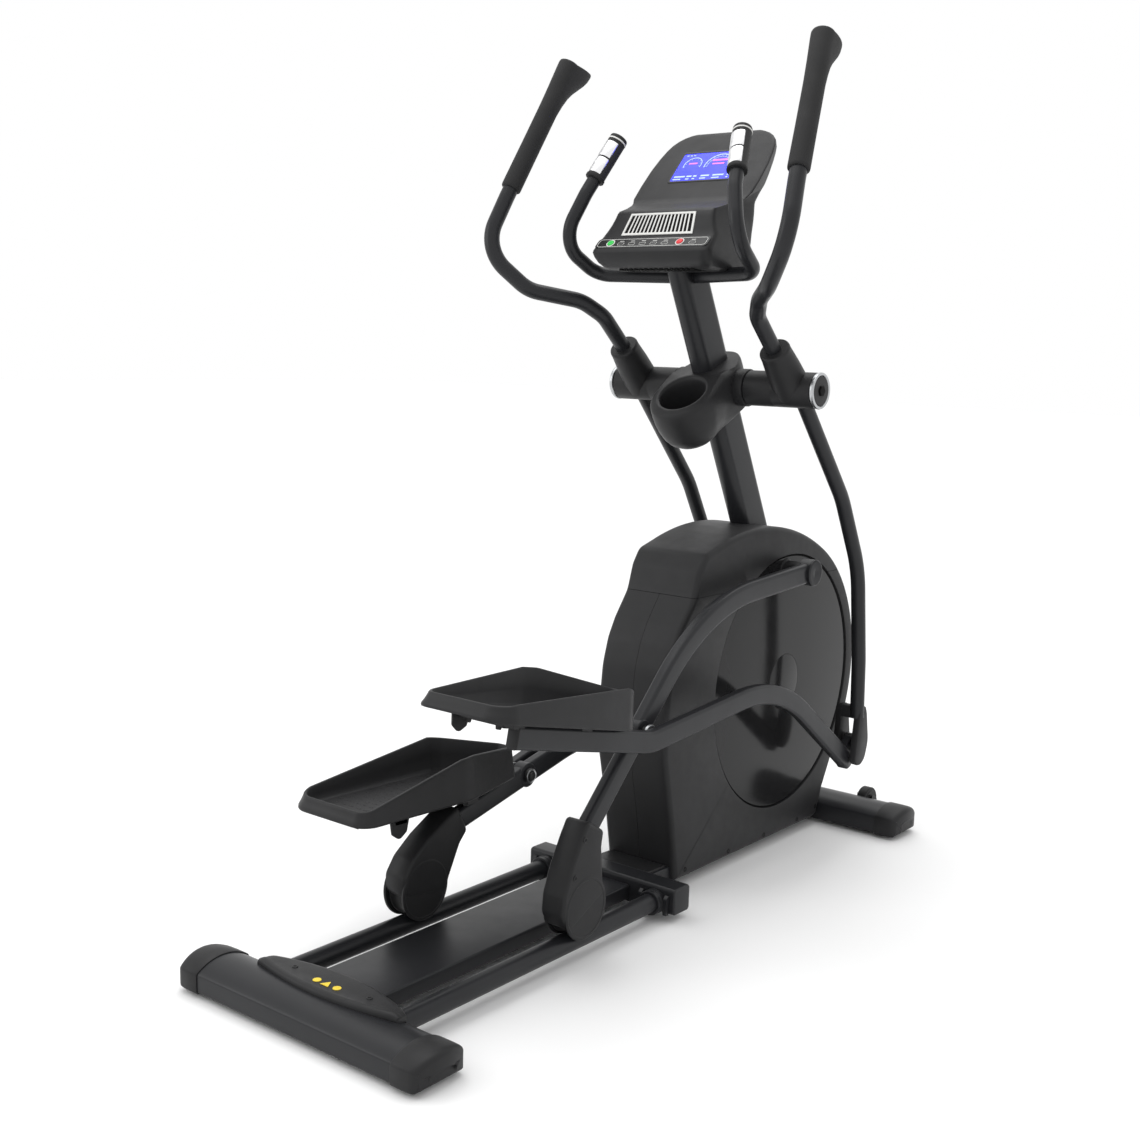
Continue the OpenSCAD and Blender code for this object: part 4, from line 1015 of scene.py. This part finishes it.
def build_console():
    # the moulded body: half widths and stations of each level, rear face first
    levels = [
        # z rear, y rear, half width rear, y front, z front, half width front, corner radius at the rear
        (1266, 952, 112, 1092, 1262, 108, 18),
        (1267.5, 940, 120, 1093, 1263, 112, 20),
        (1271, 929, 127, 1094, 1266, 116, 22),
        (1279, 918, 133, 1096, 1276, 120, 22),
        (1289, 911, 138, 1098, 1296, 122, 22),
        (1297, 908, 140.5, 1100, 1316, 122, 22),
        (1302, 910, 140.5, 1101, 1324, 122, 22),
        (1316, 924.5, 138.5, 1103, 1344, 122, 20),
        (1329, 938, 135, 1106, 1360, 122, 18),
        (1340, 943.6, 128, 1108, 1370, 122, 16),
        (1352, 949.8, 122, 1111, 1382, 121, 14),
        (1364, 956, 118, 1113, 1392, 120, 12),
        (1375, 961.5, 115.5, 1115, 1401, 119, 10),
        (1380, 967, 115, 1117, 1406, 119, 9),
        (1388, 996, 119, 1126, 1420, 120, 9),
        (1397, 1024, 127, 1134, 1432, 121, 9),
        (1403, 1040, 136, 1140, 1440, 121, 9),
        (1412, 1049, 141.5, 1145, 1448, 121, 9),
        (1440, 1075, 143, 1158, 1468, 120, 9),
        (1475, 1107, 141.5, 1172, 1490, 118, 9),
        (1500, 1130, 137, 1181, 1504, 116, 9),
        (1518, 1146.5, 131.5, 1188, 1514, 113, 9),
        (1530, 1157.5, 125, 1192, 1521, 108, 9),
        (1539, 1165.6, 115.5, 1195, 1527, 100, 9),
        (1545, 1171, 105, 1197, 1532, 92, 9),
        (1549.4, 1175, 92, 1197.5, 1537, 82, 9),
        (1551.6, 1178.5, 82, 1196, 1542, 74, 8),
        (1552.4, 1183, 76, 1192, 1546, 70, 6),
    ]
    rings = []
    for zr, yr, wr, yf, zf, wf, radius in levels:
        pts = rounded_corners([(-wr, yr), (wr, yr), (wf, yf), (-wf, yf)], [radius, radius, 22, 22])
        rings.append([Vector((x, y, zr + (zf - zr) * max(0.0, min(1.0, (y - yr) / (yf - yr)))))
                      for x, y in pts])
    bm = loops_mesh(rings)
    put = placer(row_frame())
    put("console_body", bm, "trim_plastic", "console_back", "console_front", smooth=28)

    face = on_face(FACE[3], FACE[4], 103)
    put_face = placer(face)
    put_face("screen_bezel", bezel(), "key_black", smooth=30)
    bm = slab(148.6, 80.6, 4, -2.0, 0.2)
    put_face("screen_glass", bm, "screen_lens", "screen", smooth=30)
    build_gauges(face)

    # grille: a white frame and upright bars over a near-black slab, painted shade in the recess behind them
    put_grille = placer(on_face(FACE[1], FACE[2], 26.6))
    outline = [(-84, -24.6), (84, -24.6), (76, 24), (-76, 24)]
    hole = [(-78.4, -19.6), (78.4, -19.6), (71.6, 19.6), (-71.6, 19.6)]
    loops = [flat_ring(outline, -1.5), flat_ring(outline, 1.0), flat_ring(shrink(outline, 0.8), 1.8),
             flat_ring(shrink(hole, -0.8), 1.8), flat_ring(hole, 1.0), flat_ring(hole, -3)]
    bm = loops_mesh(loops, cap_start=False, cap_end=False)
    for i in range(1, 17):
        x = -78.4 + i * 156.8 / 17
        loops_mesh([[Vector((x * (1 - (y + 20) * 0.0022) + dx, y, z)) for dx, y in
                     ((-1.5, -20), (1.5, -20), (1.5, 20), (-1.5, 20))] for z in (-3, 0.8)], into=bm)
    put_grille("grille_frame", bm, "grille_white", "grille", smooth=30)
    # near-black slab behind the bars: painted shade in the recess
    bm = loops_mesh([flat_ring(shrink(hole, -2), z) for z in (-1.2, 0.1)])
    put_grille("grille_recess_shade", bm, "painted_shade_and_black")

    keys = on_face(FACE[0], FACE[1], 22)
    put_keys = placer(keys)
    bm = slab(264, 28, 8, -1.0, 0.6)
    put_keys("key_strip", bm, "key_black", "keypad", smooth=30)
    bm = bmesh.new()
    rect_line(bm, 256, 22, 7, 0.8, 0.5, 0.9)
    for x in (-72, -46, -20, 6, 32, 96):
        rect_line(bm, 15, 7, 2.5, 0.5, 0.5, 0.9, x, -3)
        block(x - 5, 4.2, 10, 1.2, 0.5, 0.9, bm)
    put_keys("key_outlines", bm, "grille_white", smooth=30)
    for x, name, material in ((-98, "start", "button_green"), (66, "stop", "button_red")):
        bm = lathe([(-6, 0), (-6, 7), (1.4, 7), (2.2, 6.4), (2.6, 4.6), (2.4, 0)], 40, "Z", (x, 0, 0))
        placer(keys, f"{name}_key")(f"key_{name}", bm, material, f"button_{name}", smooth=35)
        bm = lathe([(0.4, 7.3), (1.0, 7.6), (1.3, 8.6), (0.9, 9.4), (0.4, 9.6)], 40, "Z", (x, 0, 0))
        put_keys(f"key_ring_{name}", bm, "grille_white", smooth=35)

    # vent slots under the lip: near-black strips, painted shade inside the slots
    bm = bmesh.new()
    for i in range(15):
        block(i * 12 - 87, 940, 6, 48, 1264.2, 1267.4, bm)
    put("vent_slot_shade", bm, "painted_shade_and_black")


def rounded_face(w, h, r, x=0.0, y=0.0):
    return [(b + x, a + y) for a, b in rounded_section(h, w, r, 6)]


def slab(w, h, r, z0, z1):
    return loops_mesh([flat_ring(rounded_face(w, h, r), z) for z in (z0, z1)])


def rect_line(bm, w, h, r, width, z0, z1, x=0.0, y=0.0):
    """A thin rounded frame line."""
    outer = rounded_face(w, h, r, x, y)
    inner = rounded_face(w - 2 * width, h - 2 * width, max(0.2, r - width), x, y)
    loops = [flat_ring(outer, z0), flat_ring(outer, z1), flat_ring(inner, z1), flat_ring(inner, z0)]
    loops_mesh(loops, into=bm, cap_start=False, cap_end=False)


def bezel():
    """A rounded frame round the screen, 158 by 90 outside and 148 by 80 inside."""
    outer, inner = rounded_face(158, 90, 6), rounded_face(148, 80, 4)
    return loops_mesh([flat_ring(outer, -1), flat_ring(outer, 0.7 * 0.6),
                       flat_ring([(x * 0.985, y * 0.98) for x, y in outer], 0.7),
                       flat_ring([(x * 1.01, y * 1.015) for x, y in inner], 0.7),
                       flat_ring(inner, 0.7 * 0.6), flat_ring(inner, -0.8)], cap_start=False, cap_end=False)


def build_gauges(face):
    """Two round dials, scale ticks and bars on the screen, with no lettering."""
    put = placer(face)
    light, pink = bmesh.new(), bmesh.new()

    def arc(bm, x, y, r0, r1, start, span):
        loops = []
        for k in range(49):
            a = math.radians(start + span * k / 48)
            loops.append([Vector((r * math.cos(a) + x, r * math.sin(a) + y, z))
                          for r, z in ((r0, 0.1), (r0, 0.5), (r1, 0.5), (r1, 0.1))])
        loops_mesh(loops, into=bm)

    arc(light, -40, 6, 20, 21.6, -20, 220)
    arc(light, 22, 2, 30, 32, -10, 200)
    arc(light, 22, 2, 24, 24.8, -10, 200)
    for i in range(11):
        arc(light, 22, 2, 26, 29, 19 * i - 5.8, 1.6)
    for i in range(9):
        arc(light, -40, 6, 16.5, 19, -14 + 26 * i, 2.4)
    block(4, 14, 36, 5, 0.1, 0.5, pink)
    block(8, 4, 28, 4, 0.1, 0.5, pink)
    block(-50, 8, 20, 4, 0.1, 0.5, pink)
    for x, w in ((-68, 26), (-38, 12), (-22, 8), (-4, 20), (24, 26), (58, 6)):
        block(x, -30, w, 4, 0.1, 0.5, light)
        block(x, -37, w * 0.7, 3, 0.1, 0.5, light)
    for x in (-66, -58, -50, 46, 54, 62):
        block(x, 33, 5, 2, 0.1, 0.5, light)
    put("screen_gauges", light, "gauge_light")
    put("screen_bars", pink, "gauge_pink")


build_pulse()
build_console()


# ---------------------------------------------------------------- stage, light and camera

def emit_area(name, place, aim, size, power):
    light = bpy.data.lights.new(name, "AREA")
    light.shape = "RECTANGLE"
    light.size, light.size_y = size
    light.energy = power
    obj = linked(name, light)
    obj.location = place
    obj.rotation_euler = (Vector(aim) - Vector(place)).to_track_quat("-Z", "Y").to_euler()


def build_stage():
    mesh = bpy.data.meshes.new("floor")
    mesh.from_pydata([(-30, -30, 0), (30, -30, 0), (30, 30, 0), (-30, 30, 0)], [], [(0, 1, 2, 3)])
    floor = linked("floor", mesh)
    floor.data.materials.append(finish_material(
        "floor_paper", (0.86, 0.86, 0.86), (0.88, 0.88, 0.88), (0.8, 0.9), 300, 0.0001, cloud=0.6))

    world = bpy.data.worlds.new("studio")
    bpy.context.scene.world = world
    world.use_nodes = True
    world.node_tree.nodes["Background"].inputs["Color"].default_value = (1, 1, 1, 1)
    world.node_tree.nodes["Background"].inputs["Strength"].default_value = 1.0
    bpy.context.scene.view_settings.view_transform = "Standard"

    sun = bpy.data.lights.new("overhead_sun", "SUN")
    sun.energy = 0.75
    sun.angle = math.radians(50)
    overhead = linked("overhead_sun", sun)
    overhead.rotation_euler = (math.radians(-16), math.radians(-12), 0)
    emit_area("top_softbox", (-0.3, -0.2, 3.4), (0, 0, 0.6), (2.6, 2.6), 24)
    emit_area("rear_left_softbox", (-2.6, -2.6, 2.2), (0, 0, 0.7), (1.6, 2.0), 22)


def build_camera():
    az, el, roll = (math.radians(a) for a in (38.493, 10.449, 1.664))
    forward = Vector((-math.sin(az) * math.cos(el), math.cos(az) * math.cos(el), -math.sin(el)))
    level = Vector((math.cos(az), math.sin(az), 0))
    upright = level.cross(forward)
    right = level * math.cos(roll) + upright * math.sin(roll)
    up = upright * math.cos(roll) - level * math.sin(roll)
    data = bpy.data.cameras.new("camera")
    data.sensor_width = 36
    data.lens = 45.755
    data.shift_x = 0.0095
    data.shift_y = 0.0401
    data.clip_start = 0.05
    camera = linked("camera", data)
    camera.matrix_world = Matrix((
        (right.x, up.x, -forward.x, 1.6735),
        (right.y, up.y, -forward.y, -1.4335 - H),
        (right.z, up.z, -forward.z, 1.1088),
        (0, 0, 0, 1)))
    bpy.context.scene.camera = camera


build_stage()
build_camera()
